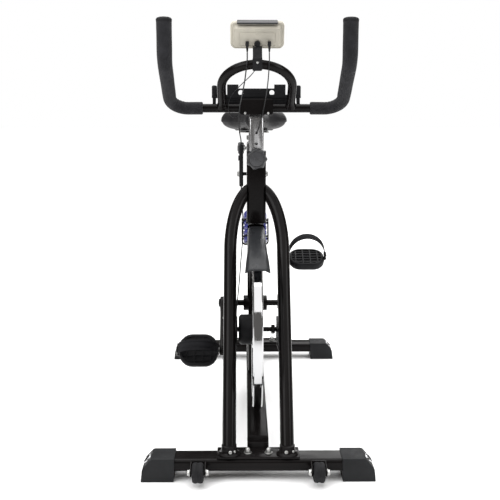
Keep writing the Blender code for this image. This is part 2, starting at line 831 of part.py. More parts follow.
def star_knob(radius, height, lobes, neck=0.0):
    """A lobed hand knob. Its axis is X, and its back face is at the neck's length."""
    sides = lobes * 4
    rings = []
    for out, scale in ((0.0, 0.86), (0.004, 1.0), (height - 0.004, 1.0), (height, 0.80)):
        ring = []
        for side in range(sides):
            angle = math.tau * side / sides
            reach = radius * scale * (0.93 + 0.07 * math.cos(lobes * angle))
            ring.append((neck + out, reach * math.cos(angle), reach * math.sin(angle)))
        rings.append(ring)
    return loft(rings)


# ---------------------------------------------------------------- cranks and pedals


def crank_point(distance, side):
    """The place of a crank's end. The right crank points forward and down."""
    swing = -1 if side < 0 else 1
    return (
        CRANK_Y + swing * distance * math.cos(CRANK_ANGLE),
        CRANK_Z + swing * distance * math.sin(CRANK_ANGLE),
    )


def make_cranks():
    at = (0, CRANK_Y, CRANK_Z)
    as_object("crank_axle", disc(-0.0857, 0.0637, CRANK_AXLE_RADIUS, 20, 0.001), "zinc", at=at)
    pulley = grooved_pulley(LARGE_PULLEY_RADIUS, CRANK_AXLE_RADIUS + GAP, 36)
    as_object("large_pulley", pulley, "black_plastic", at=at)
    for name, side, hub_x, end_x in (("left", 1, 0.072, 0.092), ("right", -1, -0.094, -0.094)):
        rings = []
        stations = (
            (-0.017, hub_x, 0.008, 0.013),
            (-0.010, hub_x, 0.015, 0.016),
            (0.000, hub_x, 0.018, 0.016),
            (0.015, hub_x, 0.016, 0.016),
            (0.050, hub_x * 0.6 + end_x * 0.4, 0.012, 0.013),
            (0.130, end_x, 0.011, 0.012),
            (CRANK_LENGTH - 0.010, end_x, 0.013, 0.013),
            (CRANK_LENGTH + 0.006, end_x, 0.012, 0.013),
            (CRANK_LENGTH + 0.014, end_x, 0.006, 0.011),
        )
        for distance, middle, half, thick in stations:
            outline = rounded_rectangle(thick, 2 * half, min(thick, 2 * half) * 0.3, 2)
            rings.append([(middle + x, distance, z) for x, z in outline])
        turn = CRANK_ANGLE + (0 if side > 0 else math.pi)
        arm = as_object(f"crank_arm_{name}", loft(rings), "black_paint", at=at, turn=(turn, 0, 0))
        start = end_x + side * 0.005
        spindle = disc(*sorted((start, end_x + side * 0.100)), 0.006, 16)
        y, z = crank_point(CRANK_LENGTH, side)
        combine(arm, spindle, "UNION", at=(0, y, z))


def make_pedals():
    """Each pedal turns freely on its spindle, and holds a toe strap over its top."""
    for name, side, middle, tip in (("left", 1, 0.158, 22), ("right", -1, -0.158, 62)):
        y, z = crank_point(CRANK_LENGTH, side)
        at = (middle, y, z)
        turn = (math.radians(tip), 0, 0)
        outline = rounded_rectangle(PEDAL_LENGTH, PEDAL_THICK, 0.007, 3)
        bm = side_prism(outline, -PEDAL_WIDTH / 2, PEDAL_WIDTH / 2)
        pedal = as_object(f"pedal_{name}", bm, "black_plastic", at=at, turn=turn)
        reach = sorted((-side * (PEDAL_WIDTH / 2 + 0.01), side * 0.042))
        bore = disc(*reach, 0.0068, 20)
        combine(pedal, bore, "DIFFERENCE", at=at, turn=turn)
        for end in (-1, 1):
            window = block((0.078, 0.020, 0.06), (0, end * 0.0235, 0), 0.0)
            combine(pedal, window, "DIFFERENCE", at=at, turn=turn)
        half = PEDAL_WIDTH / 2 + GAP + 0.0015
        arch = [(-half, 0.0078), (-half, 0.020)]
        arch += [(-x, h) for x, h in arc((0, 0.020), half, 15, 165, 10)]
        arch += [(half, 0.020), (half, 0.0078)]
        rings = []
        for index, (x, height) in enumerate(arch):
            before = Vector(arch[max(index - 1, 0)])
            after = Vector(arch[min(index + 1, len(arch) - 1)])
            along = (after - before).normalized()
            out = Vector((-along.y, along.x)) * 0.00125
            rings.append(
                [
                    (x - out.x, -0.014, height - out.y),
                    (x + out.x, -0.014, height + out.y),
                    (x + out.x, 0.014, height + out.y),
                    (x - out.x, 0.014, height - out.y),
                ]
            )
        as_object(f"toe_strap_{name}", loft(rings), "rubber", at=at, turn=turn)


# ---------------------------------------------------------------- handlebar


def bar_path(side):
    """Half of the bar: along the cross tube, forward and up, then upright."""
    forward_y = BAR_Y - HORN_FORWARD
    return rounded_path(
        [
            (0, BAR_Y, BAR_Z),
            (side * BAR_HALF, BAR_Y, BAR_Z),
            (side * BAR_HALF, forward_y, BAR_Z + HORN_RISE),
            (side * BAR_HALF, forward_y, HORN_TOP),
        ],
        radius=0.045,
        steps=5,
    )


def make_post_and_stem():
    outline = rounded_rectangle(POST_SIZE, POST_SIZE, 0.006)
    bm = prism(outline, POST_TOP - POST_LOW)
    post = as_object("handlebar_post", bm, "satin_steel", at=(0, HEAD_Y, POST_LOW))
    holes = bmesh.new()
    hole_count = 5
    for index in range(hole_count):
        spot = Matrix.Translation((0, HEAD_Y - POST_SIZE / 2, HOLE_HIGHEST - index * HOLE_PITCH))
        bmesh.ops.create_cone(
            holes,
            cap_ends=True,
            segments=12,
            radius1=0.0035,
            radius2=0.0035,
            depth=0.010,
            matrix=spot @ Matrix.Rotation(math.pi / 2, 4, "X"),
        )
    combine(post, holes, "DIFFERENCE")
    size = (STEM_WIDTH, 0.070, STEM_HIGH - STEM_LOW)
    centre = (0, -0.1005, (STEM_LOW + STEM_HIGH) / 2)
    stem = as_object("stem_block", block(size, centre, 0.003), "black_paint")
    bore = disc(-0.06, 0.06, BAR_RADIUS + GAP, 24)
    combine(stem, bore, "DIFFERENCE", at=(0, BAR_Y, BAR_Z))


def make_bar_and_grips():
    right = bar_path(-1)
    left = bar_path(1)
    path = list(reversed(right[1:])) + left[1:]
    as_object("handlebar", rod(path, BAR_RADIUS, GRIP_SIDES), "black_paint")
    for name, side in (("left", 1), ("right", -1)):
        path = bar_path(side)
        path[0] = Vector((side * 0.137, BAR_Y, BAR_Z))
        radii = []
        for point in path:
            share = min(max((point.z - BAR_Z) / (HORN_RISE + 0.02), 0.0), 1.0)
            radii.append(0.0160 + 0.0022 * share)
        top = path[-1]
        outer = rings_along(path, radii, GRIP_SIDES)
        bore = rings_along(path, [BAR_RADIUS + 0.0006] * len(path), GRIP_SIDES)
        bore[-1] = [point + Vector((0, 0, 0.0005)) for point in bore[-1]]
        lifts = ((0.0, 1.0), (0.003, 1.0), (0.006, 0.8), (0.0075, 0.45))
        crown = [
            [
                Vector(
                    (
                        top.x + (point.x - top.x) * shrink,
                        top.y + (point.y - top.y) * shrink,
                        point.z + lift,
                    )
                )
                for point in outer[-1]
            ]
            for lift, shrink in lifts[1:]
        ]
        bm = blind_loft(outer + crown, bore)
        as_object(f"grip_{name}", bm, "foam")


def blind_loft(outer, bore):
    """A skin over matching rings, with a bore that enters at the first and stops inside."""
    bm = bmesh.new()
    walls = [[bm.verts.new(point) for point in ring] for ring in outer]
    lining = [[bm.verts.new(point) for point in ring] for ring in bore]
    for rows in (walls, lining, [walls[0], lining[0]]):
        for row, following in zip(rows, rows[1:]):
            for side in range(len(row)):
                after = (side + 1) % len(row)
                bm.faces.new((row[side], row[after], following[after], following[side]))
    bm.faces.new(walls[-1])
    bm.faces.new(lining[-1])
    return bm


def loop_point(side, distance):
    """A point on the loop's centre line, by its distance up the slope from the cross tube."""
    slope = math.atan2(HORN_RISE, HORN_FORWARD)
    return (side, BAR_Y - distance * math.cos(slope), BAR_Z + distance * math.sin(slope))


def make_loop():
    path = [loop_point(LOOP_HALF, BAR_RADIUS + 2 * GAP), loop_point(LOOP_HALF, LOOP_LEG)]
    path += [loop_point(x, up) for x, up in arc((0, LOOP_LEG), LOOP_HALF, 10, 170, 16)]
    path += [loop_point(-LOOP_HALF, LOOP_LEG), loop_point(-LOOP_HALF, BAR_RADIUS + 2 * GAP)]
    as_object("centre_loop", rod(path, BAR_RADIUS, GRIP_SIDES), "black_paint")


def make_elbow_rest():
    front = BAR_Y + BAR_RADIUS + 0.006
    back = front + 0.085
    plate = as_object(
        "elbow_rest",
        block((0.150, 0.005, 0.024), (0, front + 0.0025, 0.882)),
        "black_plastic",
    )
    middle = (front + back) / 2
    floor = block((0.229, back - front, 0.005), (0, middle, 0.8725))
    combine(plate, floor, "UNION")
    for side in (-1, 1):
        wall = block(
            (0.013, back - front, 0.0305), (side * 0.108, middle, 0.88675), 0.004, 2
        )
        combine(plate, wall, "UNION")
        ear = block((0.029, 0.005, 0.033), (side * 0.0605, front + 0.0025, 0.8875))
        combine(plate, ear, "UNION")
        hole = disc(-0.01, 0.01, 0.0065, 16)
        combine(
            plate, hole, "DIFFERENCE", at=(side * 0.040, front, 0.8835), turn=(0, 0, math.pi / 2)
        )


def make_console():
    """The console leans back. Its local Y runs towards the rider and its local Z up its face."""
    at = (0, CONSOLE_Y, CONSOLE_Z)
    turn = (CONSOLE_LEAN, 0, 0)
    rim_y = CONSOLE_DEPTH / 2 - 0.008
    back_y = -CONSOLE_DEPTH / 2
    shell_sections = ((back_y, 0.014), (back_y + 0.004, 0.006), (rim_y - GAP, 0.0))
    rings = []
    for depth, inset in shell_sections:
        outline = rounded_rectangle(
            CONSOLE_WIDTH - 2 * inset, CONSOLE_HEIGHT - 2 * inset, 0.012, 4
        )
        rings.append([(x, depth, z) for x, z in outline])
    as_object("console_shell", loft(rings), "console_shell", at=at, turn=turn)
    outline = rounded_rectangle(CONSOLE_WIDTH, CONSOLE_HEIGHT, 0.012, 4)
    rings = [[(x, depth, z) for x, z in outline] for depth in (rim_y, CONSOLE_DEPTH / 2 - 0.002)]
    bezel = as_object("console_bezel", loft(rings), "console_bezel", at=at, turn=turn)
    button_up = -0.020
    y_out = CONSOLE_DEPTH / 2 - 0.002
    place = Vector(at) + Matrix.Rotation(CONSOLE_LEAN, 3, "X") @ Vector((0, y_out, button_up))
    spin = (Matrix.Rotation(CONSOLE_LEAN, 3, "X") @ Matrix.Rotation(math.pi / 2, 3, "Z")).to_euler()
    shallow = disc(-0.0045, 0.010, 0.0078, 20)
    combine(bezel, shallow, "DIFFERENCE", at=place, turn=spin)
    button = disc(-0.0025, 0.0025, 0.0072, 20, 0.0008)
    as_object("console_button", button, "black_plastic", at=place, turn=spin)


def make_console_bracket():
    """A strap clamped round the loop's top carries the console."""
    width = 0.023
    loop_top = loop_point(0, LOOP_LEG + LOOP_HALF)
    size = (width, 0.027, 0.030)
    centre = (0, loop_top[1] - 0.0025, loop_top[2])
    bracket = as_object("console_bracket", block(size, centre, 0.002), "black_plastic")
    path = [
        (-0.2690, 0.9320),
        (-0.2690, 0.9580),
        (-0.2600, 0.9750),
        (-0.2502, 0.9925),
        (-0.2612, 1.0161),
    ]
    half = 0.00125
    rings = []
    for index, (y, z) in enumerate(path):
        before = Vector(path[max(index - 1, 0)])
        after = Vector(path[min(index + 1, len(path) - 1)])
        along = (after - before).normalized()
        out = Vector((-along.y, along.x)) * half
        rings.append(
            [
                (-width / 2 + 0.0005, y - out.x, z - out.y),
                (width / 2 - 0.0005, y - out.x, z - out.y),
                (width / 2 - 0.0005, y + out.x, z + out.y),
                (-width / 2 + 0.0005, y + out.x, z + out.y),
            ]
        )
    combine(bracket, loft(rings), "UNION")
    bore = disc(-0.03, 0.03, BAR_RADIUS + 0.0013, 24)
    combine(bracket, bore, "DIFFERENCE", at=loop_top)


def make_plugs():
    length = PLUG_TOP - PLUG_LOW
    profile = [
        (0.0, 0.0),
        (0.0, 0.0042),
        (0.010, 0.0042),
        (0.0115, 0.0030),
        (length, 0.0019),
        (length, 0.0),
    ]
    for side, x in PLUG_X.items():
        as_object(
            f"jack_plug_{side}",
            turned(profile, 14),
            "rubber",
            at=(x, PLUG_Y, PLUG_TOP),
            turn=(0, math.pi / 2, 0),
        )


def make_leads():
    for name, (diameter, points) in LEADS.items():
        route = smooth_route(points, spacing=3.0 * diameter)
        curve = bpy.data.curves.new(name, "CURVE")
        curve.dimensions = "3D"
        curve.bevel_depth = diameter / 2
        curve.bevel_resolution = 2
        curve.use_fill_caps = True
        spline = curve.splines.new("POLY")
        spline.points.add(len(route) - 1)
        for point, place in zip(spline.points, route):
            point.co = (*place, 1.0)
        curve.materials.append(FINISHES["rubber"])
        obj = bpy.data.objects.new(name, curve)
        bpy.context.collection.objects.link(obj)


def make_lead_guard():
    """A strip beside the head tube, held off it by a bolt, that the console's lead runs through."""
    height = GUARD_TOP - GUARD_LOW
    centre = (GUARD_X, -0.091, (GUARD_TOP + GUARD_LOW) / 2)
    strip = block((0.0105, 0.018, height), centre, 0.003, 2)
    guard = as_object("lead_guard", strip, "black_plastic")
    spacer = disc(GUARD_X, -HEAD_SIZE / 2 - GAP, 0.0045, 16)
    combine(guard, spacer, "UNION", at=(0, centre[1], HEAD_BOLT_Z))


# ---------------------------------------------------------------- saddle


def make_seat_post():
    top = SLIDE_BAR_Z - SLIDE_BAR_HEIGHT / 2 - 0.0015
    low = 0.520
    turn = (-SEAT_TUBE_LEAN, 0, 0)
    bm = prism(rounded_rectangle(0.0352, 0.0352, 0.005), (top - low) / math.cos(SEAT_TUBE_LEAN))
    post = as_object("seat_post", bm, "satin_steel", at=(0, seat_axis(low), low), turn=turn)
    wall = 0.003
    outer = rounded_rectangle(
        SLIDE_BAR_WIDTH + 2 * wall + 0.0006, SLIDE_BAR_HEIGHT + 2 * wall + 0.0006, 0.006
    )
    bm = loft(
        [[(x, y, z) for x, z in outer] for y in (SLEEVE_FRONT, SLEEVE_FRONT + SLEEVE_LENGTH)]
    )
    combine(post, bm, "UNION", at=(0, 0, SLIDE_BAR_Z))
    inner = rounded_rectangle(SLIDE_BAR_WIDTH + 0.0006, SLIDE_BAR_HEIGHT + 0.0006, 0.004)
    bm = loft([[(x, y, z) for x, z in inner] for y in (0.10, 0.45)])
    combine(post, bm, "DIFFERENCE", at=(0, 0, SLIDE_BAR_Z))


def make_slide_bar():
    outline = rounded_rectangle(SLIDE_BAR_WIDTH, SLIDE_BAR_HEIGHT, 0.004)
    ends = (SLIDE_BAR_FRONT, SLIDE_BAR_FRONT + SLIDE_BAR_LENGTH)
    bm = loft([[(x, y, z) for x, z in outline] for y in ends])
    as_object("saddle_slide_bar", bm, "black_paint", at=(0, 0, SLIDE_BAR_Z))
    low = SLIDE_BAR_Z + SLIDE_BAR_HEIGHT / 2 + GAP
    high = SADDLE_LOW - 0.001
    clamp = as_object(
        "saddle_clamp",
        block((0.034, 0.050, high - low), (0, 0.350, (high + low) / 2), 0.002),
        "zinc",
    )
    plate = block((0.090, 0.120, 0.004), (0, 0.335, high - 0.002), 0.001)
    combine(clamp, plate, "UNION")
    as_object("saddle", loft(saddle_rings()), "vinyl")


def saddle_rings():
    stations = (
        (0.0000, 0.040, 0.026, 0.052),
        (0.0080, 0.054, 0.016, 0.062),
        (0.0450, 0.064, 0.008, 0.066),
        (0.1100, 0.094, 0.004, 0.070),
        (0.1600, 0.160, 0.002, 0.075),
        (0.2000, 0.208, 0.000, 0.079),
        (0.2300, SADDLE_WIDTH, 0.001, 0.080),
        (0.2520, 0.190, 0.008, 0.078),
        (SADDLE_LENGTH, 0.150, 0.020, 0.068),
    )
    front = SADDLE_Y - SADDLE_LENGTH / 2
    rings = []
    for along, width, low, high in stations:
        tall = high - low
        outline = rounded_rectangle(width, tall, min(width, tall) * 0.42, 4)
        middle = SADDLE_LOW + (low + high) / 2
        rings.append([(x, front + along, middle + z) for x, z in outline])
    return rings


def make_adjusting_knobs():
    front = HEAD_Y - HEAD_SIZE / 2
    place_knob(
        "handlebar_knob",
        (0, front, HEAD_KNOB_Z),
        (0, -1, 0),
        radius=0.028,
        lobes=7,
        neck=0.012,
        reach=0.0045,
    )
    height = 0.600
    rear = Vector((0, seat_axis(height), height)) + SEAT_REAR * (SEAT_TUBE_SIZE / 2 + GAP)
    place_knob("seat_height_knob", rear, SEAT_REAR, radius=0.024, lobes=6, neck=0.012)
    side = (-(SLIDE_BAR_WIDTH / 2 + 0.0033 + GAP), SLEEVE_FRONT + 0.055, SLIDE_BAR_Z)
    place_knob("seat_slide_knob", side, (-1, 0, 0), radius=0.020, lobes=6, neck=0.008)


def place_knob(name, at, direction, radius, lobes, neck, reach=0.0):
    turn = facing(direction)
    knob = as_object(
        name, star_knob(radius, 0.018, lobes, neck), "black_plastic", at=at, turn=turn
    )
    combine(knob, disc(-reach, neck + 0.002, 0.005, 16), "UNION", at=at, turn=turn)


# ---------------------------------------------------------------- bottle


def bottle_point(along):
    """A point on the bottle's axis, which lies in front of the seat tube and parallel to it."""
    out = SEAT_TUBE_SIZE / 2 + 0.0065 + BOTTLE_RADIUS
    return Vector((0, CRANK_Y, CRANK_Z)) + SEAT_UP * along - SEAT_REAR * out


def make_bottle():
    at = bottle_point(BOTTLE_BASE)
    turn = facing(SEAT_UP)
    radius = BOTTLE_RADIUS
    profile = [(0.0, 0.0), (0.0, radius - 0.004), (0.004, radius)]
    rib_pitch = 0.030
    for rib in range(2):
        start = 0.022 + rib * rib_pitch
        profile += [(start, radius), (start + 0.004, radius - 0.002), (start + 0.008, radius)]
    profile += [
        (BOTTLE_LENGTH - 0.010, radius),
        (BOTTLE_LENGTH, radius - 0.004),
        (BOTTLE_LENGTH + 0.012, 0.021),
        (BOTTLE_LENGTH + 0.016, 0.021),
        (BOTTLE_LENGTH + 0.016, 0.0),
    ]
    start = BOTTLE_LENGTH + 0.016
    profile = profile[:-1] + [(start, 0.023), (start + 0.014, 0.023), (start + 0.016, 0.008)]
    profile += [(start + 0.026, 0.007), (start + 0.026, 0.0)]
    as_object("water_bottle", turned(profile, 20), "bottle_blue", at=at, turn=turn)


def make_bottle_cage():
    at = bottle_point(BOTTLE_BASE)
    turn = facing(SEAT_UP)
    inner = BOTTLE_RADIUS + 0.0012
    wire = 0.0024
    band = collar(0.062, 0.062 + 2 * wire, inner, inner + 2 * wire, 20)
    cage = as_object("bottle_cage", band, "black_paint", at=at, turn=turn)
    combine(cage, collar(0.014, 0.014 + 2 * wire, inner, inner + 2 * wire, 20), "UNION", at, turn)
    combine(cage, collar(-0.006, -0.0012, 0.015, inner + 2 * wire, 20), "UNION", at, turn)
    out = SEAT_TUBE_SIZE / 2 + 0.0065 + BOTTLE_RADIUS
    depth = out - inner - SEAT_TUBE_SIZE / 2 - GAP
    rail = block((0.100, 0.012, depth - 0.0002), (0.044, 0, 0))
    centre = at + SEAT_REAR * (inner + depth / 2)
    combine(cage, rail, "UNION", at=centre, turn=turn)
    for sign in (-1, 1):
        side = block((0.080, 2 * wire, 2 * wire), (0.034, sign * (inner + wire - 0.0004), 0))
        combine(cage, side, "UNION", at=at, turn=turn)


def main():
    for obj in list(bpy.data.objects):
        bpy.data.objects.remove(obj)
    add_finishes()
    make_supports()
    make_transport_wheels()
    make_hoop()
    make_head_and_main_tube()
    make_seat_tube()
    make_bottom_rail()
    make_fender()
    make_flywheel()
    make_belt()
    make_belt_guard()
    make_brake()
    make_cranks()
    make_pedals()
    make_post_and_stem()
    make_bar_and_grips()
    make_loop()
    make_elbow_rest()
    make_console()
    make_console_bracket()
    make_plugs()
    make_leads()
    make_lead_guard()
    make_seat_post()
    make_slide_bar()
    make_adjusting_knobs()
    make_bottle()
    make_bottle_cage()
    for obj in bpy.data.objects:
        obj.location.y += BOX_SHIFT


main()
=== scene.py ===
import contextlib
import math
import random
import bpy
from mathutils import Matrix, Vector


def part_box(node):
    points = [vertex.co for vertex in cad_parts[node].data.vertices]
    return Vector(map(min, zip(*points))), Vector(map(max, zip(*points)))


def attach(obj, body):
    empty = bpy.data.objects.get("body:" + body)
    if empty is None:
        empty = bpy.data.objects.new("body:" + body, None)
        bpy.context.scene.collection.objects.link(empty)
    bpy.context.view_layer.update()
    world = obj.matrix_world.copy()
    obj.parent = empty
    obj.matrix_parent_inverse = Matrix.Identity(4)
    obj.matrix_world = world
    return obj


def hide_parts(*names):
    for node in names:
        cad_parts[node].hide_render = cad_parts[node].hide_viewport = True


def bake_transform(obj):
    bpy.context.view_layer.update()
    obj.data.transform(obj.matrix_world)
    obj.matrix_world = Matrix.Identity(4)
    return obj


bl_info = {
    "name": "Upright Exercise Bike",
    "version": (1, 0, 0),
    "blender": (4, 5, 0),
    "location": "View3D > Sidebar > Exercise Bike",
    "description": "Builds the finished surfaces of an upright exercise bike round its frame",
    "category": "Add Mesh",
}

import bmesh
import bpy
from bpy.props import FloatProperty, FloatVectorProperty, IntProperty, PointerProperty
from mathutils import Matrix, Vector

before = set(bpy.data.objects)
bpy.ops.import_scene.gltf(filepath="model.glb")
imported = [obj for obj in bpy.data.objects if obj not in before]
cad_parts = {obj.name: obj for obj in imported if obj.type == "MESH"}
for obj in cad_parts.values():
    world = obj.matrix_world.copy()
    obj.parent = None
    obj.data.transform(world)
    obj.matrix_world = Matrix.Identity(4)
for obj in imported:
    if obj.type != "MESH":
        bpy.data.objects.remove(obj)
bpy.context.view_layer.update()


def low(node):
    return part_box(node)[0]


def high(node):
    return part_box(node)[1]


def middle(node):
    return (low(node) + high(node)) / 2


# Centres and axes, read from the frame.
WHEEL = middle("flywheel")
WHEEL_RADIUS = (high("flywheel") - low("flywheel")).z / 2
CRANK = Vector((0, middle("large_pulley").y, middle("large_pulley").z))
HEAD = middle("head_tube")
BAR = Vector((0, middle("handlebar_post").y - 0.020, 0.844))
CRANK_ANGLE = math.radians(37)
CRANK_LENGTH = 0.170
LEG_OUT = 0.067
LEG_SLOPE = 0.617
ARCH_START = 0.490
ARCH_HEIGHT = 0.150
SEAT_SLOPE = 0.435
SEAT_LEAN = math.atan(SEAT_SLOPE)
SEAT_UP = Vector((0, math.sin(SEAT_LEAN), math.cos(SEAT_LEAN)))
SEAT_REAR = Vector((0, math.cos(SEAT_LEAN), -math.sin(SEAT_LEAN)))
HORN_OUT = 0.218
HORN_RISE = 0.107
HORN_FORWARD = 0.150
HORN_TOP = 1.047
HORN_BEND = 0.045
LOOP_HALF = 0.087
LOOP_LEG = 0.089
CONSOLE_LEAN = math.radians(25)
CONSOLE = Matrix.Translation((0, -0.2281, 1.0125)) @ Matrix.Rotation(CONSOLE_LEAN, 4, "X")
CONSOLE_BACK = -0.0150
BRAKE_LEAN = math.radians(42)
BRAKE_WAY = Vector((0, math.sin(BRAKE_LEAN), math.cos(BRAKE_LEAN)))
SUPPORT_TOP = 0.053
BELT_COVER_FACE = -0.0829
AXLE_BORE = 0.0063
SPINDLE_RADIUS = 0.0060

# Each lead's diameter and the points along its middle.
LEADS = {
    "console_lead": (0.0030, [
        (-0.0240, -0.2446, 0.9735), (-0.0240, -0.2448, 0.9680), (-0.0241, -0.2511, 0.9570),
        (-0.0255, -0.2594, 0.9430), (-0.0290, -0.2476, 0.9140), (-0.0340, -0.2126, 0.8860),
        (-0.0390, -0.1696, 0.8640), (-0.0425, -0.1376, 0.8440), (-0.0445, -0.1166, 0.8180),
        (-0.0435, -0.0996, 0.7860), (-0.0402, -0.0826, 0.7660), (-0.0393, -0.0792, 0.7560),
        (-0.0392, -0.0791, 0.7515),
    ]),
    "pulse_lead": (0.0026, [
        (0.0280, -0.2446, 0.9735), (0.0280, -0.2448, 0.9680), (0.0279, -0.2511, 0.9570),
        (0.0272, -0.2594, 0.9430), (0.0258, -0.2456, 0.9140), (0.0235, -0.2076, 0.8860),
        (0.0210, -0.1676, 0.8660), (0.0190, -0.1396, 0.8500), (0.0160, -0.1276, 0.8330),
        (0.0110, -0.1226, 0.8130), (0.0050, -0.1136, 0.7930), (0.0015, -0.1036, 0.7840),
        (0.0000, -0.0976, 0.7820),
    ]),
    "grip_lead": (0.0020, [
        (0.0080, -0.2206, 0.9788), (0.0070, -0.2206, 0.9640), (0.0010, -0.2216, 0.9440),
        (-0.0140, -0.2116, 0.9230), (-0.0350, -0.1836, 0.9040), (-0.0540, -0.1516, 0.8860),
        (-0.0670, -0.1256, 0.8680), (-0.0715, -0.1146, 0.8500), (-0.0700, -0.1131, 0.8350),
        (-0.0640, -0.1126, 0.8240), (-0.0560, -0.1096, 0.8210), (-0.0480, -0.1076, 0.8260),
        (-0.0424, -0.1066, 0.8300),
    ]),
    "sensor_lead": (0.0030, [
        (-0.0392, -0.0776, 0.6417), (-0.0390, -0.0776, 0.6200), (-0.0365, -0.0796, 0.5850),
        (-0.0345, -0.0896, 0.5450), (-0.0360, -0.1126, 0.5050), (-0.0400, -0.1456, 0.4600),
        (-0.0440, -0.1756, 0.4120), (-0.0485, -0.1986, 0.3680), (-0.0515, -0.2096, 0.3420),
        (-0.0520, -0.2131, 0.3262),
    ]),
}


class BikeSizes(bpy.types.PropertyGroup):
    """Sizes that change how the bike's pieces are finished."""

    leg_diameter: FloatProperty(
        name="Hoop tube", description="Diameter of the hoop's tube", default=0.032,
        unit="LENGTH", precision=4,
    )
    bar_diameter: FloatProperty(
        name="Handlebar tube", description="Diameter of the handlebar's tube", default=0.022,
        unit="LENGTH", precision=4,
    )
    wheel_steps: IntProperty(
        name="Flywheel steps", description="Steps round the flywheel's rim", default=144
    )
    grip_wrinkle: FloatProperty(
        name="Grip wrinkle", description="Depth of the folds inside a grip's bend",
        default=0.0012, unit="LENGTH", precision=4,
    )
    tread_depth: FloatProperty(
        name="Pedal tread", description="Depth of a pedal's tread", default=0.0045,
        unit="LENGTH", precision=4,
    )
    saddle_piping: FloatProperty(
        name="Saddle piping", description="Radius of the welt round the saddle",
        default=0.0016, unit="LENGTH", precision=4,
    )
    lamp_power: FloatProperty(
        name="Lamp power", description="Power of the main lamp", default=75.0, unit="POWER"
    )


def colour_of(label, note, value):
    return FloatVectorProperty(
        name=label, description=note, default=value, subtype="COLOR", min=0.0, max=1.0
    )


class BikeColours(bpy.types.PropertyGroup):
    """Base colours of the bike's finishes."""

    paint: colour_of("Paint", "Gloss enamel on the steel tubes", (0.0045, 0.0038, 0.0038))
    plastic: colour_of("Plastic", "Moulded black plastic", (0.009, 0.009, 0.010))
    cap: colour_of("End cap", "Matte plastic of the end caps", (0.014, 0.0145, 0.0155))
    fender: colour_of("Fender", "Moulded shroud over the flywheel", (0.017, 0.018, 0.020))
    foam: colour_of("Foam", "Foam of the grips", (0.014, 0.014, 0.016))
    chrome: colour_of("Chrome", "Polished and plated steel", (0.68, 0.68, 0.69))
    zinc: colour_of("Zinc", "Plated nuts, bolts and brackets", (0.42, 0.42, 0.41))
    shell: colour_of("Console shell", "Back half of the console", (0.36, 0.338, 0.285))
    rim: colour_of("Console rim", "Front half of the console", (0.63, 0.60, 0.52))
    vinyl: colour_of("Vinyl", "Cover of the saddle", (0.011, 0.0105, 0.0115))
    rubber: colour_of("Rubber", "Wheels, straps and plugs", (0.010, 0.010, 0.011))
    lead: colour_of("Lead", "Jacket of the leads", (0.008, 0.008, 0.009))
    bottle: colour_of("Bottle", "Body of the water bottle", (0.035, 0.038, 0.190))
    felt: colour_of("Felt", "Brake pad", (0.100, 0.088, 0.075))


# ---------------------------------------------------------------- hand tools


def activate(obj):
    if bpy.context.object and bpy.context.object.mode != "OBJECT":
        bpy.ops.object.mode_set(mode="OBJECT")
    bpy.ops.object.select_all(action="DESELECT")
    if obj:
        obj.select_set(True)
        bpy.context.view_layer.objects.active = obj
    return obj


@contextlib.contextmanager
def editing(obj, mode="VERT"):
    activate(obj)
    bpy.ops.object.mode_set(mode="EDIT")
    bpy.ops.mesh.select_mode(type=mode)
    yield
    bpy.ops.object.mode_set(mode="OBJECT")


def pick(obj, kind, test):
    """Selects the verts, edges or faces that pass a test, in edit mode."""
    bpy.ops.mesh.select_all(action="DESELECT")
    bm = bmesh.from_edit_mesh(obj.data)
    for part in getattr(bm, kind):
        if test(part):
            part.select_set(True)
    bm.select_flush_mode()
    bmesh.update_edit_mesh(obj.data)


def named(name):
    obj = bpy.context.object
    obj.name = obj.data.name = name
    return obj


def settled(obj, matrix=None):
    """Puts an object's place into its mesh."""
    activate(obj)
    if matrix is not None:
        obj.matrix_world = matrix @ obj.matrix_world
    bpy.ops.object.transform_apply(location=True, rotation=True, scale=True)
    return obj


def modified(obj, kind, **settings):
    activate(obj)
    step = obj.modifiers.new(kind.title(), kind)
    for key, value in settings.items():
        setattr(step, key, value)
    bpy.ops.object.modifier_apply(modifier=step.name)
    return obj


def softened(obj, width, segments, angle=40):
    """Rounds over the edges that are sharper than an angle."""
    return modified(
        obj, "BEVEL", width=width, segments=segments, limit_method="ANGLE",
        angle_limit=math.radians(angle), harden_normals=False,
    )


def cut(obj, tool):
    """Cuts one mesh out of another, and removes the tool."""
    modified(obj, "BOOLEAN", operation="DIFFERENCE", solver="EXACT", object=tool)
    bpy.data.objects.remove(tool)
    return obj


def joined(name, pieces):
    activate(pieces[0])
    for piece in pieces:
        piece.select_set(True)
    bpy.ops.object.join()
    return named(name)


def cleaned(obj):
    """Merges points that coincide, and turns every face outwards."""
    with editing(obj):
        bpy.ops.mesh.select_all(action="SELECT")
        bpy.ops.mesh.remove_doubles(threshold=1e-6)
        bpy.ops.mesh.normals_make_consistent(inside=False)
    return obj


def box(name, size, centre, bevel=0.001, segments=3, turn=(0, 0, 0), matrix=None):
    activate(None)
    bpy.ops.mesh.primitive_cube_add(size=1, location=centre, rotation=turn, scale=size)
    obj = settled(named(name), matrix)
    return softened(obj, bevel, segments) if bevel else obj


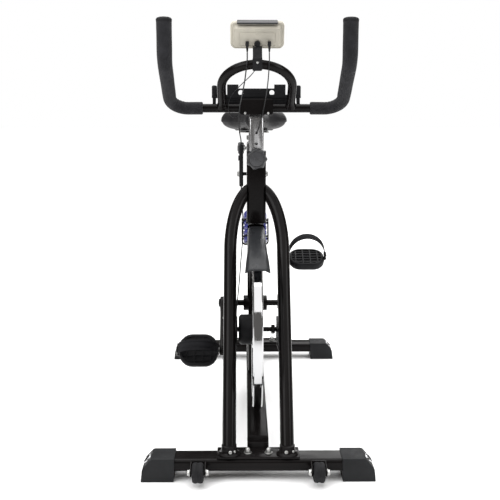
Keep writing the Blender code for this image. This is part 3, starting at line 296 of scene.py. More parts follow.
def square_tube(name, width, depth, length, corner, wall, steps, matrix):
    """A straight tube with round corners and, if it has a wall, with open ends."""
    activate(None)
    bpy.ops.mesh.primitive_cube_add(
        size=1, location=(0, 0, length / 2), scale=(width, depth, length)
    )
    obj = settled(named(name))
    with editing(obj, "EDGE"):
        pick(obj, "edges", lambda edge: abs(edge.verts[0].co.z - edge.verts[1].co.z) > 1e-5)
        bpy.ops.mesh.bevel(offset=corner, segments=steps, profile=0.5, affect="EDGES")
    for end in (1, -1) if wall else ():
        with editing(obj, "FACE"):
            pick(obj, "faces", lambda face: face.normal.z * end > 0.9)
            bpy.ops.mesh.inset(thickness=wall)
            shift = (0, 0, -end * min(0.03, length * 0.4))
            bpy.ops.mesh.extrude_region_move(TRANSFORM_OT_translate={"value": shift})
    softened(obj, 0.0006, 2, 60)
    return settled(obj, matrix)


def facing(at, along):
    """The place whose own X axis points along a direction."""
    turn = Vector(along).to_track_quat("X", "Z").to_matrix().to_4x4()
    return Matrix.Translation(at) @ turn


def lathe(name, profile, steps, at=(0, 0, 0), along=(1, 0, 0), closed=False):
    """Draws a profile of (distance along the axis, radius) and spins it about that axis."""
    activate(None)
    bpy.ops.mesh.primitive_plane_add(size=0.01)
    obj = named(name)
    with editing(obj):
        bpy.ops.mesh.select_all(action="SELECT")
        bpy.ops.mesh.merge(type="CENTER")
        bpy.ops.transform.translate(value=(profile[0][0], 0, profile[0][1]))
        for (x, radius), (next_x, next_radius) in zip(profile, profile[1:]):
            step = (next_x - x, 0, next_radius - radius)
            bpy.ops.mesh.extrude_vertices_move(TRANSFORM_OT_translate={"value": step})
        if closed:
            first = Vector((profile[0][0], 0, profile[0][1]))
            last = Vector((profile[-1][0], 0, profile[-1][1]))
            pick(obj, "verts", lambda v: min((v.co - first).length, (v.co - last).length) < 1e-6)
            bpy.ops.mesh.edge_face_add()
        bpy.ops.mesh.select_all(action="SELECT")
        bpy.ops.mesh.spin(steps=steps, angle=math.tau, center=(0, 0, 0), axis=(1, 0, 0))
        bpy.ops.mesh.select_all(action="SELECT")
        bpy.ops.mesh.remove_doubles(threshold=1e-6)
        bpy.ops.mesh.normals_make_consistent(inside=False)
    return settled(obj, facing(at, along))


def drawn_out(name, rings, matrix=None):
    """Extrudes a face through matching rings of points."""
    activate(None)
    bpy.ops.mesh.primitive_circle_add(vertices=len(rings[0]), radius=0.01, fill_type="NGON")
    obj = named(name)
    with editing(obj):
        bm = bmesh.from_edit_mesh(obj.data)
        order = bm.verts.layers.int.new("order")
        bm.verts.ensure_lookup_table()
        for index, vert in enumerate(next(iter(bm.faces)).verts):
            vert[order] = index
        bmesh.update_edit_mesh(obj.data)
        for number, ring in enumerate(rings):
            if number:
                bpy.ops.mesh.extrude_region_move()
            bm = bmesh.from_edit_mesh(obj.data)
            order = bm.verts.layers.int["order"]
            for vert in bm.verts:
                if vert.select:
                    vert.co = ring[vert[order]]
            bmesh.update_edit_mesh(obj.data)
        bpy.ops.mesh.select_all(action="SELECT")
        bpy.ops.mesh.normals_make_consistent(inside=False)
    obj.data.attributes.remove(obj.data.attributes["order"])
    return settled(obj, matrix) if matrix is not None else obj


def rounded_outline(width, depth, radius, steps):
    points = []
    for corner in range(4):
        across = (width / 2 - radius) * (1 if corner in (0, 3) else -1)
        along = (depth / 2 - radius) * (1 if corner in (0, 1) else -1)
        for step in range(steps + 1):
            angle = math.pi / 2 * (corner + step / steps)
            points.append((across + radius * math.cos(angle), along + radius * math.sin(angle)))
    return points


def arc(centre, radius, first, last, steps):
    turns = [math.radians(first + (last - first) * step / steps) for step in range(steps + 1)]
    return [(centre[0] + radius * math.cos(t), centre[1] + radius * math.sin(t)) for t in turns]


def rounded_path(corners, radius, steps=14):
    """Straight stretches with each corner turned into an arc."""
    corners = [Vector(corner) for corner in corners]
    path = [corners[0]]
    for before, here, after in zip(corners, corners[1:], corners[2:]):
        into = (here - before).normalized()
        out = (after - here).normalized()
        half = into.angle(out) / 2
        start = here - into * radius * math.tan(half)
        centre = here + (out - into).normalized() * radius / math.cos(half)
        axis = into.cross(out).normalized()
        for step in range(steps + 1):
            turn = Matrix.Rotation(2 * half * step / steps, 3, axis)
            path.append(centre + turn @ (start - centre))
    path.append(corners[-1])
    return path


def evenly(points, spacing, smooth=True):
    """Even points along a line, or along a smooth curve through its points."""
    points = [Vector(point) for point in points]
    fine = points
    if smooth:
        points = [2 * points[0] - points[1]] + points + [2 * points[-1] - points[-2]]
        fine = []
        for a, b, c, d in zip(points, points[1:], points[2:], points[3:]):
            for step in range(24):
                t = step / 24
                square = (2 * a - 5 * b + 4 * c - d) * t**2
                cube = (3 * b - a - 3 * c + d) * t**3
                fine.append((2 * b + (c - a) * t + square + cube) / 2)
        fine.append(points[-2])
    total = sum((after - before).length for before, after in zip(fine, fine[1:]))
    count = max(2, round(total / spacing))
    even = [fine[0]]
    travelled = 0.0
    for before, after in zip(fine, fine[1:]):
        length = (after - before).length
        while travelled + length >= total / count * len(even) and len(even) < count:
            even.append(before.lerp(after, (total / count * len(even) - travelled) / length))
        travelled += length
    return even + [fine[-1]]


def rings_along(path, radius_at, sides):
    """Circles square to a path. radius_at takes the station, the angle and the circle's axes."""
    steps = [(after - before).normalized() for before, after in zip(path, path[1:])]
    across = steps[0].orthogonal().normalized()
    rings = []
    for index, point in enumerate(path):
        along = (steps[max(index - 1, 0)] + steps[min(index, len(steps) - 1)]).normalized()
        across = (across - along * across.dot(along)).normalized()
        other = along.cross(across)
        ring = []
        for side in range(sides):
            turn = math.tau * side / sides
            out = across * math.cos(turn) + other * math.sin(turn)
            ring.append(point + out * radius_at(index, out))
        rings.append(ring)
    return rings


def tube(name, path, radius, sides, radii=None):
    """A round tube along a path, from a bevelled curve."""
    activate(None)
    bpy.ops.curve.primitive_nurbs_path_add()
    obj = named(name)
    curve = obj.data
    curve.splines.clear()
    spline = curve.splines.new("POLY")
    spline.points.add(len(path) - 1)
    for index, (point, place) in enumerate(zip(spline.points, path)):
        point.co = (*place, 1.0)
        point.radius = radii[index] if radii else 1.0
    curve.dimensions = "3D"
    curve.bevel_depth = radius
    curve.bevel_resolution = (sides - 4) // 2
    curve.use_fill_caps = True
    activate(obj)
    bpy.ops.object.convert(target="MESH")
    return cleaned(named(name))


def trimmed(obj, place, normal):
    """Cuts away what lies on the normal's side of a plane, and closes the cut."""
    with editing(obj):
        bpy.ops.mesh.select_all(action="SELECT")
        bpy.ops.mesh.bisect(
            plane_co=place, plane_no=normal, use_fill=True, clear_outer=True, clear_inner=False
        )
    return obj


def refined(name, node, bevel, segments=2):
    """A copy of a frame piece with its edges rounded over."""
    obj = bpy.data.objects.new(name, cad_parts[node].data.copy())
    bpy.context.collection.objects.link(obj)
    obj.data.materials.clear()
    with editing(obj):
        bpy.ops.mesh.customdata_custom_splitnormals_clear()
        bpy.ops.mesh.select_all(action="SELECT")
        bpy.ops.mesh.remove_doubles(threshold=1e-5)
        bpy.ops.mesh.dissolve_limited(angle_limit=math.radians(1.0))
    if bevel:
        softened(obj, bevel, segments)
    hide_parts(node)
    return obj


def coated(obj, finish, angle):
    """Gives a piece its material, and smooth shading up to an angle between faces."""
    obj.data.materials.clear()
    obj.data.materials.append(material(finish))
    activate(obj)
    bpy.ops.object.shade_smooth_by_angle(angle=math.radians(angle))
    return obj


def fitted(obj, body, slot, *nodes, finish=None, angle=38):
    """Coats a piece, puts it on its body, and hides the frame nodes that it stands for."""
    coated(obj, finish or slot, angle)
    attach(obj, body)
    if nodes:
        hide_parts(*nodes)
    return obj


def hex_piece(at, along, radius, height):
    profile = [(0, 0), (0, radius * 0.94), (height * 0.08, radius)]
    profile += [(height * 0.8, radius), (height, radius * 0.84), (height, 0)]
    return lathe("hex", profile, 6, at, along)


def washer(at, along, radius, thickness):
    profile = [(0, 0), (0, radius), (thickness * 0.7, radius), (thickness, radius * 0.94)]
    return lathe("washer", profile + [(thickness, 0)], 32, at, along)


def bolt_head(face, side, washer_radius, radius, height, thickness=0.0014):
    """A washer and a hexagonal head on a face that looks to one side."""
    along = (side, 0, 0)
    return [
        washer(face, along, washer_radius, thickness),
        hex_piece(face + Vector((side * thickness, 0, 0)), along, radius, height),
    ]


def acorn_nut(at, along, radius):
    """A domed nut on its washer."""
    along = Vector(along).normalized()
    at = Vector(at)
    dome = [(0, radius * 0.84)] + arc((0.0, 0.0), radius * 0.84, 80, 0, 7)
    pieces = [
        washer(at, along, radius * 1.35, 0.0016),
        hex_piece(at + along * 0.0016, along, radius, radius * 0.85),
        lathe("dome", dome, 24, at + along * (0.0016 + radius * 0.80), along),
    ]
    return joined("acorn_nut", pieces)


def screw_head(at, along, radius):
    """A pan head with a cross slot."""
    profile = [(0, 0), (0, radius), (radius * 0.25, radius * 0.96), (radius * 0.5, radius * 0.72)]
    head = lathe("screw_head", profile + [(radius * 0.6, radius * 0.3), (radius * 0.6, 0)], 24)
    for size in ((1.0, 1.1, 0.22), (1.0, 0.22, 1.1)):
        slot = box("slot", [radius * side for side in size], (radius * 0.85, 0, 0), 0)
        cut(head, slot)
    return settled(head, facing(at, along))


# ---------------------------------------------------------------- finishes


class Finish:
    """A material under construction, with patterns that lie in the object's own space."""

    def __init__(self, name, colour, roughness, metallic=0.0, **sockets):
        self.material = bpy.data.materials.new(name)
        self.material.use_nodes = True
        tree = self.material.node_tree
        self.nodes, self.links = tree.nodes, tree.links
        self.shader = tree.nodes["Principled BSDF"]
        self.shader.inputs["Base Color"].default_value = (*colour, 1)
        self.shader.inputs["Roughness"].default_value = roughness
        self.shader.inputs["Metallic"].default_value = metallic
        for socket, value in sockets.items():
            self.shader.inputs[socket.replace("_", " ")].default_value = value
        self.colour = colour
        self.roughness = roughness
        self.place = self.nodes.new("ShaderNodeTexCoord").outputs["Object"]

    def stretched(self, scale=(1, 1, 1), centre=(0, 0, 0)):
        mapping = self.nodes.new("ShaderNodeMapping")
        mapping.inputs["Scale"].default_value = scale
        mapping.inputs["Location"].default_value = [-c * s for c, s in zip(centre, scale)]
        self.links.new(self.place, mapping.inputs["Vector"])
        return mapping.outputs["Vector"]

    def noise(self, scale, detail=3.0, place=None):
        node = self.nodes.new("ShaderNodeTexNoise")
        node.inputs["Scale"].default_value = scale
        node.inputs["Detail"].default_value = detail
        self.links.new(place or self.place, node.inputs["Vector"])
        return node.outputs["Fac"]

    def cells(self, scale, feature="F1"):
        node = self.nodes.new("ShaderNodeTexVoronoi")
        node.feature = feature
        node.inputs["Scale"].default_value = scale
        self.links.new(self.place, node.inputs["Vector"])
        return node.outputs["Distance"]

    def waves(self, scale, place, rings=False, distortion=0.0):
        node = self.nodes.new("ShaderNodeTexWave")
        node.wave_type = "RINGS" if rings else "BANDS"
        if rings:
            node.rings_direction = "X"
        node.inputs["Scale"].default_value = scale
        node.inputs["Distortion"].default_value = distortion
        self.links.new(place, node.inputs["Vector"])
        return node.outputs["Fac"]

    def mapped(self, value, low, high, start=0.3, end=0.7):
        node = self.nodes.new("ShaderNodeMapRange")
        for socket, number in (
            ("From Min", start), ("From Max", end), ("To Min", low), ("To Max", high)
        ):
            node.inputs[socket].default_value = number
        self.links.new(value, node.inputs["Value"])
        return node.outputs["Result"]

    def summed(self, first, second, share):
        node = self.nodes.new("ShaderNodeMath")
        node.operation = "MULTIPLY_ADD"
        node.inputs[1].default_value = share
        self.links.new(second, node.inputs[0])
        self.links.new(first, node.inputs[2])
        return node.outputs["Value"]

    def mottle(self, value, dark, light):
        """Varies the base colour between a darker and a lighter share of itself."""
        ramp = self.nodes.new("ShaderNodeValToRGB")
        ramp.color_ramp.elements[0].position = 0.32
        ramp.color_ramp.elements[1].position = 0.70
        for element, share in zip(ramp.color_ramp.elements, (dark, light)):
            element.color = (*(min(1.0, c * share) for c in self.colour), 1)
        self.links.new(value, ramp.inputs["Fac"])
        self.links.new(ramp.outputs["Color"], self.shader.inputs["Base Color"])

    def rough(self, value, spread):
        result = self.mapped(value, max(0.0, self.roughness - spread), self.roughness + spread)
        self.links.new(result, self.shader.inputs["Roughness"])

    def bump(self, height, depth, strength):
        node = self.nodes.new("ShaderNodeBump")
        node.inputs["Strength"].default_value = strength
        node.inputs["Distance"].default_value = depth
        self.links.new(height, node.inputs["Height"])
        self.links.new(node.outputs["Normal"], self.shader.inputs["Normal"])


def gloss_enamel(name, colour):
    """Sprayed enamel: faint orange peel, and smudges where it is handled."""
    made = Finish(name, colour, 0.20, Specular_IOR_Level=0.08)
    made.mottle(made.noise(7.0), 0.8, 1.3)
    made.rough(made.noise(24.0, 5.0), 0.06)
    made.bump(made.noise(260.0, 2.0), 0.00006, 0.5)
    return made.material


def moulded(name, colour, roughness, grain=0.00016, scale=1400.0, shine=0.12):
    """Spark-eroded plastic: a fine cell grain, with slightly paler rubbed patches."""
    made = Finish(name, colour, roughness, Specular_IOR_Level=shine)
    made.mottle(made.noise(18.0, 4.0), 0.85, 1.22)
    made.rough(made.noise(60.0, 4.0), 0.07)
    height = made.summed(made.cells(scale), made.noise(scale * 0.6, 2.0), 0.6)
    made.bump(height, grain, 0.55)
    return made.material


def smooth_plastic(name, colour, roughness):
    """Polished moulding with a slight orange peel."""
    made = Finish(name, colour, roughness, Specular_IOR_Level=0.22)
    made.mottle(made.noise(14.0), 0.88, 1.12)
    made.rough(made.noise(45.0, 4.0), 0.06)
    made.bump(made.noise(420.0, 3.0), 0.00005, 0.5)
    return made.material


def foam(name, colour):
    """Closed-cell foam: small open pits over a soft, uneven skin."""
    made = Finish(
        name, colour, 0.92, Sheen_Weight=0.06, Sheen_Roughness=0.6, Specular_IOR_Level=0.12
    )
    made.mottle(made.noise(55.0, 6.0), 0.75, 1.35)
    pits = made.mapped(made.cells(950.0), 0.0, 1.0, 0.05, 0.45)
    made.bump(made.summed(pits, made.noise(140.0, 5.0), 1.4), 0.0005, 0.75)
    return made.material


def turned_chrome(name, colour):
    """Polished steel with the faint rings that a lathe leaves round the wheel's axis."""
    made = Finish(name, colour, 0.07, 1.0)
    place = made.stretched(centre=WHEEL)
    made.rough(made.waves(330.0, place, rings=True, distortion=0.4), 0.03)
    made.mottle(made.noise(5.0, 5.0), 0.93, 1.05)
    made.bump(made.waves(420.0, place, rings=True, distortion=0.3), 0.00002, 0.25)
    return made.material


def plated(name, colour):
    """Drawn tube under bright plating: fine lengthwise lines and a few dull patches."""
    made = Finish(name, colour, 0.24, 1.0)
    lines = made.noise(60.0, 5.0, made.stretched((14, 14, 0.7)))
    made.rough(lines, 0.03)
    made.mottle(made.noise(22.0, 5.0), 0.97, 1.02)
    made.bump(lines, 0.000004, 0.2)
    return made.material


def zinc(name, colour):
    """Dull plating with a fine, uneven grain."""
    made = Finish(name, colour, 0.34, 1.0)
    made.mottle(made.noise(120.0, 6.0), 0.78, 1.18)
    made.rough(made.noise(240.0, 4.0), 0.10)
    made.bump(made.noise(900.0, 3.0), 0.00008, 0.5)
    return made.material


def vinyl(name, colour):
    """Embossed vinyl: pebbles with creases between them, duller where they are low."""
    made = Finish(name, colour, 0.50, Sheen_Weight=0.01, Specular_IOR_Level=0.09)
    pebbles = made.mapped(made.cells(420.0), 1.0, 0.0, 0.0, 0.6)
    creases = made.mapped(made.cells(95.0, feature="DISTANCE_TO_EDGE"), 0.0, 1.0, 0.0, 0.09)
    made.mottle(made.noise(26.0, 5.0), 0.8, 1.25)
    made.rough(pebbles, 0.08)
    made.bump(made.summed(pebbles, creases, 0.35), 0.00030, 0.7)
    return made.material


def rubber(name, colour):
    """Dusty rubber with a fine moulded skin."""
    made = Finish(name, colour, 0.7, Specular_IOR_Level=0.15)
    made.mottle(made.noise(40.0, 5.0), 0.8, 1.4)
    made.rough(made.noise(90.0, 4.0), 0.08)
    made.bump(made.noise(700.0, 4.0), 0.00012, 0.6)
    return made.material


def ribbed_rubber(name, colour):
    """The belt's back has a woven ply that shows through the rubber."""
    made = Finish(name, colour, 0.62)
    made.mottle(made.noise(80.0, 4.0), 0.8, 1.4)
    ply = made.waves(260.0, made.stretched((1, 0.7, 0.7)))
    made.bump(ply, 0.0003, 0.6)
    return made.material


def jacket(name, colour):
    """Soft extruded jacket, with a faint lie of the wires under it."""
    made = Finish(name, colour, 0.38, Specular_IOR_Level=0.2)
    made.mottle(made.noise(30.0, 4.0), 0.8, 1.3)
    made.rough(made.noise(160.0, 3.0), 0.07)
    made.bump(made.noise(500.0, 3.0), 0.0001, 0.5)
    return made.material


def squeeze_bottle(name, colour):
    """Soft blue plastic that lets a little light through."""
    made = Finish(name, colour, 0.28, Transmission_Weight=0.12, Subsurface_Weight=0.15)
    made.shader.inputs["Subsurface Radius"].default_value = (0.002, 0.002, 0.006)
    made.mottle(made.noise(16.0, 4.0), 0.85, 1.2)
    made.rough(made.noise(75.0, 4.0), 0.07)
    made.bump(made.noise(300.0, 3.0), 0.00012, 0.5)
    return made.material


def felt(name, colour):
    """Pressed felt with a soft, uneven pile."""
    made = Finish(name, colour, 0.95, Sheen_Weight=0.5)
    made.mottle(made.noise(300.0, 8.0), 0.6, 1.5)
    made.bump(made.noise(800.0, 8.0), 0.0008, 0.9)
    return made.material


def glossy(name, colour, roughness=0.34):
    """Smooth dark plastic, as on a display window."""
    made = Finish(name, colour, roughness, Specular_IOR_Level=0.25)
    made.mottle(made.noise(9.0), 0.9, 1.15)
    made.rough(made.noise(30.0, 5.0), 0.03)
    made.bump(made.noise(90.0), 0.00003, 0.3)
    return made.material


def material(name):
    """The finish of that name, made when it is first asked for."""
    if name in bpy.data.materials and bpy.data.materials[name].get("bike_finish"):
        return bpy.data.materials[name]
    hue = bpy.context.scene.bike_colours
    grey = tuple(c * 1.5 for c in hue.plastic)
    makers = {
        "black_paint": lambda n: gloss_enamel(n, hue.paint),
        "black_plastic": lambda n: moulded(n, hue.plastic, 0.46),
        # The knobs' black plastic is glossier, and its colour is raised 2.2 times as a painted
        # highlight.
        "knob_plastic": lambda n: moulded(n, [c * 2.2 for c in hue.plastic], 0.34, shine=0.5),
        "cap_plastic": lambda n: moulded(n, hue.cap, 0.52),
        "fender_plastic": lambda n: smooth_plastic(n, hue.fender, 0.32),
        "grip_foam": lambda n: foam(n, hue.foam),
        "polished_steel": lambda n: turned_chrome(n, [c * 0.72 for c in hue.chrome]),
        "plated_tube": lambda n: plated(n, [c * 0.74 for c in hue.chrome]),
        "zinc": lambda n: zinc(n, hue.zinc),
        "console_shell": lambda n: moulded(n, hue.shell, 0.5, 0.00010, 1700.0, 0.4),
        "console_bezel": lambda n: moulded(n, hue.rim, 0.36, 0.00006, 1700.0, 0.45),
        "saddle_vinyl": lambda n: vinyl(n, hue.vinyl),
        "black_rubber": lambda n: rubber(n, hue.rubber),
        "belt_rubber": lambda n: ribbed_rubber(n, hue.rubber),
        "lead_jacket": lambda n: jacket(n, hue.lead),
        "bottle_plastic": lambda n: squeeze_bottle(n, hue.bottle),
        "felt": lambda n: felt(n, hue.felt),
        "display_window": lambda n: glossy(n, (0.016, 0.016, 0.019)),
        "display_glass": lambda n: glossy(n, (0.20, 0.24, 0.19), 0.16),
        "knob_insert": lambda n: glossy(n, (0.045, 0.045, 0.048), 0.26),
        "strap_plastic": lambda n: moulded(n, grey, 0.78, shine=0.04),
        "stem_paint": lambda n: moulded(n, hue.paint, 0.78, shine=0.05),
    }
    made = makers[name](name)
    made["bike_finish"] = True
    return made


# ---------------------------------------------------------------- the bike's pieces


class PieceOperator(bpy.types.Operator):
    """Shared settings of the operators that build the bike."""

    bl_options = {"REGISTER", "UNDO"}

    @property
    def sizes(self):
        return bpy.context.scene.bike_sizes


class BIKE_OT_stage(PieceOperator):
    """Lay a pale floor, hang soft lamps and set up the camera"""

    bl_idname = "bike.stage"
    bl_label = "Stage"

    # Each lamp's name, place, width and share of the main lamp's power.
    lamps = (
        ("main_lamp", (-2.3, -2.1, 2.7), 2.2, 1.0),
        ("side_lamp", (2.7, -1.3, 2.0), 1.4, 0.45),
        ("top_lamp", (0.0, 0.4, 3.4), 2.6, 0.75),
        ("back_lamp", (0.9, 3.2, 2.2), 2.0, 0.45),
    )
    lamp_aim = Vector((0, 0, 0.45))
    sky_power = 3.2
    sky_spread = math.radians(100)
    room_glow = 0.20
    camera_place = (-0.0320, -2.178, 0.847)
    camera_turn = (math.radians(79.88), 0, math.radians(-0.43))
    camera_lens = 57.67

    def execute(self, context):
        self.floor()
        self.light_lamps()
        self.light_room(context.scene)
        bpy.ops.object.camera_add(location=self.camera_place, rotation=self.camera_turn)
        camera = context.object
        camera.name = "camera"
        camera.data.lens = self.camera_lens
        camera.data.sensor_width = 36
        context.scene.camera = camera
        return {"FINISHED"}

    def floor(self):
        activate(None)
        bpy.ops.mesh.primitive_grid_add(x_subdivisions=4, y_subdivisions=4, size=60)
        floor = settled(named("floor"))
        pale = Finish("pale_floor", (0.93, 0.93, 0.93), 0.85)
        pale.mottle(pale.noise(0.8), 0.99, 1.0)
        pale.bump(pale.noise(30.0), 0.0005, 0.05)
        floor.data.materials.append(pale.material)

    def light_lamps(self):
        for name, place, size, share in self.lamps:
            bpy.ops.object.light_add(type="AREA", location=place)
            lamp = bpy.context.object
            lamp.name = name
            lamp.data.energy = self.sizes.lamp_power * share
            lamp.data.size = size
            aim = self.lamp_aim - Vector(place)
            lamp.rotation_euler = aim.to_track_quat("-Z", "Y").to_euler()
        bpy.ops.object.light_add(type="SUN", location=(0, 0, 4))
        sky = bpy.context.object
        sky.name = "sky_lamp"
        sky.data.energy = self.sky_power
        sky.data.angle = self.sky_spread

    def light_room(self, scene):
        """A dim room for the surfaces, and plain white where the camera looks past them."""
        world = bpy.data.worlds.new("studio")
        scene.world = world
        world.use_nodes = True
        nodes, links = world.node_tree.nodes, world.node_tree.links
        room = nodes["Background"]
        room.inputs["Color"].default_value = (0.93, 0.90, 0.87, 1)
        room.inputs["Strength"].default_value = self.room_glow
        white = nodes.new("ShaderNodeBackground")
        white.inputs["Color"].default_value = (1, 1, 1, 1)
        white.inputs["Strength"].default_value = 1.0
        ray = nodes.new("ShaderNodeLightPath")
        mix = nodes.new("ShaderNodeMixShader")
        links.new(ray.outputs["Is Camera Ray"], mix.inputs["Fac"])
        links.new(room.outputs[0], mix.inputs[1])
        links.new(white.outputs[0], mix.inputs[2])
        links.new(mix.outputs[0], nodes["World Output"].inputs["Surface"])
        scene.view_settings.view_transform = "Standard"


class BIKE_OT_leads(PieceOperator):
    """Lay the four leads and their jack plugs"""

    bl_idname = "bike.leads"
    bl_label = "Leads"

    def execute(self, context):
        plugs = {side: self.plug(side) for side in ("left", "right")}
        bodies = {
            "sensor_lead": "frame", "pulse_lead": "handlebar_set", "grip_lead": "handlebar_set",
        }
        for name, (diameter, points) in LEADS.items():
            path = evenly(points, diameter * 1.5)
            cable = coated(tube(f"{name}_cable", path, diameter / 2, 16), "lead_jacket", 50)
            if name == "console_lead":
                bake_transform(cable)
            else:
                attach(cable, bodies[name])
            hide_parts(name)
        return {"FINISHED"}

    def plug(self, side):
        """A jack plug with a ribbed neck that tapers towards its lead."""
        lo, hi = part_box(f"jack_plug_{side}")
        profile = [
            (0, 0), (0, 0.0034), (0.0008, 0.0042), (0.0095, 0.0042), (0.0102, 0.0036),
            (0.0108, 0.0034),
        ]
        for rib in range(5):
            start = 0.0114 + rib * 0.0023
            radius = 0.0033 - rib * 0.00026
            root = radius - 0.0006
            profile += [(start, radius), (start + 0.0012, radius)]
            profile += [(start + 0.0014, root), (start + 0.0021, root)]
        profile += [(hi.z - lo.z, 0.0019), (hi.z - lo.z, 0)]
        top = Vector(((lo.x + hi.x) / 2, (lo.y + hi.y) / 2, hi.z))
        plug = lathe(f"plug_{side}", profile, 28, top, (0, 0, -1))
        return fitted(plug, "handlebar_set", "black_rubber", f"jack_plug_{side}", angle=50)


class BIKE_OT_supports(PieceOperator):
    """Make the two floor supports, their end caps and levelling dials"""

    bl_idname = "bike.supports"
    bl_label = "Floor supports"

    def execute(self, context):
        for place in ("front", "rear"):
            lo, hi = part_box(f"{place}_stabiliser")
            tube_piece = box(f"{place}_support_tube", hi - lo, (lo + hi) / 2, 0.0095, 9)
            fitted(tube_piece, "frame", "black_paint", f"{place}_stabiliser")
            for side, sign in (("left", 1), ("right", -1)):
                self.end_cap(place, side, sign)
        return {"FINISHED"}

    def end_cap(self, place, side, sign):
        lo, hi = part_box(f"{place}_end_cap_{side}")
        outer = max(abs(lo.x), abs(hi.x))
        inner = min(abs(lo.x), abs(hi.x))
        top = hi.z
        outline = [
            (inner + 0.002, 0.0), (outer - 0.0012, 0.0), (outer, 0.0015),
            (outer - 0.0030, 0.028), (outer - 0.0055, 0.0345), (outer - 0.0235, top - 0.0015),
            (outer - 0.0285, top), (inner, top),
        ]
        rings = [[Vector((sign * x, y, z)) for x, z in outline] for y in (lo.y, hi.y)]
        cap = softened(drawn_out(f"{place}_cap_{side}", rings), 0.0016, 3, 30)
        fitted(cap, "frame", "cap_plastic", f"{place}_end_cap_{side}", angle=50)
        centre = Vector((sign * (outer - 0.0136), (lo.y + hi.y) / 2, top - 0.0115))
        normal = Vector((sign * 0.733, 0, 0.68))
        face = [(-0.003, 0), (-0.003, 0.0108), (0.0010, 0.0108), (0.0016, 0.0102), (0.0016, 0)]
        dial = lathe("dial", face, 36, centre, normal)
        grip = box("grip", (0.0030, 0.0035, 0.0170), (0.0022, 0, 0), 0.0008, 2,
                   matrix=facing(centre, normal) @ Matrix.Rotation(math.radians(35), 4, "X"))
        dial = joined(f"{place}_dial_{side}", [dial, grip])
        fitted(dial, "frame", "cap_plastic")
        ring = [(-0.002, 0.0110), (-0.002, 0.0130), (0.0012, 0.0130), (0.0022, 0.0124)]
        ring += [(0.0022, 0.0116), (0.0012, 0.0110)]
        ring = lathe(f"{place}_dial_ring_{side}", ring, 48, centre, normal, closed=True)
        fitted(ring, "frame", "zinc", finish="plated_tube")


class BIKE_OT_transport_wheels(PieceOperator):
    """Make the two transport wheels with their brackets and bolts"""

    bl_idname = "bike.transport_wheels"
    bl_label = "Transport wheels"

    def execute(self, context):
        for side in ("left", "right"):
            centre = middle(f"transport_wheel_{side}")
            radius, half = 0.023, 0.013
            profile = [(-half, 0.0045), (-half, 0.009), (-half + 0.0015, 0.010)]
            profile += [(-half + 0.0015, 0.0165), (-half, 0.0175), (-half, radius - 0.006)]
            profile += arc((-half + 0.006, radius - 0.006), 0.006, 180, 90, 6)[1:]
            profile += [(-0.0030, radius), (-0.0022, radius - 0.0008), (0.0022, radius - 0.0008)]
            profile += [(0.0030, radius)]
            profile += arc((half - 0.006, radius - 0.006), 0.006, 90, 0, 6)
            profile += [(half, 0.0175), (half - 0.0015, 0.0165), (half - 0.0015, 0.010)]
            profile += [(half, 0.009), (half, 0.0045)]
            wheel = lathe(f"roller_{side}", profile, 48, centre, closed=True)
            fitted(wheel, f"{side}_transport_wheel", "black_rubber", f"transport_wheel_{side}")
            bracket = refined(f"roller_bracket_{side}", f"transport_bracket_{side}", 0.0007)
            fitted(bracket, "frame", "black_paint")
            pieces = []
            for way in (-1, 1):
                face = centre + Vector((way * 0.0181, 0, 0))
                pieces += bolt_head(face, way, 0.0085, 0.0068, 0.0048)
            fitted(joined(f"roller_bolt_{side}", pieces), "frame", "zinc")
        return {"FINISHED"}


def leg_place(side, height):
    """A point on the middle line of a hoop leg's straight stretch."""
    return Vector((side * LEG_OUT, -0.4331 + LEG_SLOPE * (height - 0.080), height))


class BIKE_OT_hoop(PieceOperator):
    """Bend the hoop's two legs, with their foot flanges and axle plates"""

    bl_idname = "bike.hoop"
    bl_label = "Hoop"

    def execute(self, context):
        radius = self.sizes.leg_diameter / 2
        bolts = []
        for name, side in (("left", 1), ("right", -1)):
            heights = [0.0500] + [0.08 + 0.041 * step for step in range(11)]
            path = [leg_place(side, height) for height in heights]
            for step in range(1, 27):
                angle = math.radians(88) * step / 26
                point = leg_place(side, ARCH_START + ARCH_HEIGHT * math.sin(angle))
                point.x = side * LEG_OUT * math.cos(angle)
                path.append(point)
            leg = tube(f"hoop_tube_{name}", path, radius, 40)
            trimmed(leg, (side * 0.0246, 0, 0), (-side, 0, 0))
            trimmed(leg, (0, 0, 0.0600), (0, 0, -1))
            fitted(leg, "frame", "black_paint", f"hoop_leg_{name}")
            foot = leg_place(side, 0.0680)
            flare = [(0, 0), (0, 0.0245), (0.0006, 0.0252), (0.0026, 0.0252), (0.0034, 0.0244)]
            flare += [(0.0044, 0.0215), (0.0075, 0.0188), (0.0150, 0.0178), (0.0215, 0.0174)]
            flare += [(0.0222, 0.0160), (0.0222, 0)]
            flange = lathe(f"foot_flange_{name}", flare, 48, (foot.x, foot.y, 0.0595), (0, 0, 1))
            fitted(flange, "frame", "black_paint", angle=50)
            front = foot + Vector((side * -0.003, -0.0180, 0.0022))
            beside = (foot.x + 0.013, foot.y - 0.0135, 0.0700)
            bolts.append(screw_head(front, (0, -1, 0.35), 0.0042))
            bolts.append(screw_head(beside, (0.6, -0.7, 0.4), 0.0030))
            self.axle_plate(name, side, radius)
        fitted(joined("foot_screws", bolts), "frame", "zinc")
        return {"FINISHED"}

    def axle_plate(self, name, side, radius):
        back = leg_place(side, WHEEL.z).y + radius / math.cos(math.atan(LEG_SLOPE)) - WHEEL.y
        outline = [(back + LEG_SLOPE * -0.030 - 0.010, -0.030), (0.0, -0.030)]
        outline += arc((0.006, 0.002), 0.030, -80, 80, 22)
        outline += [(back + LEG_SLOPE * 0.034 - 0.010, 0.034)]
        ends = sorted((side * 0.049, side * 0.055))
        rings = [[Vector((x, WHEEL.y + y, WHEEL.z + z)) for y, z in outline] for x in ends]
        plate = softened(drawn_out(f"axle_plate_{name}", rings), 0.0012, 2)
        fitted(plate, "frame", "black_paint")


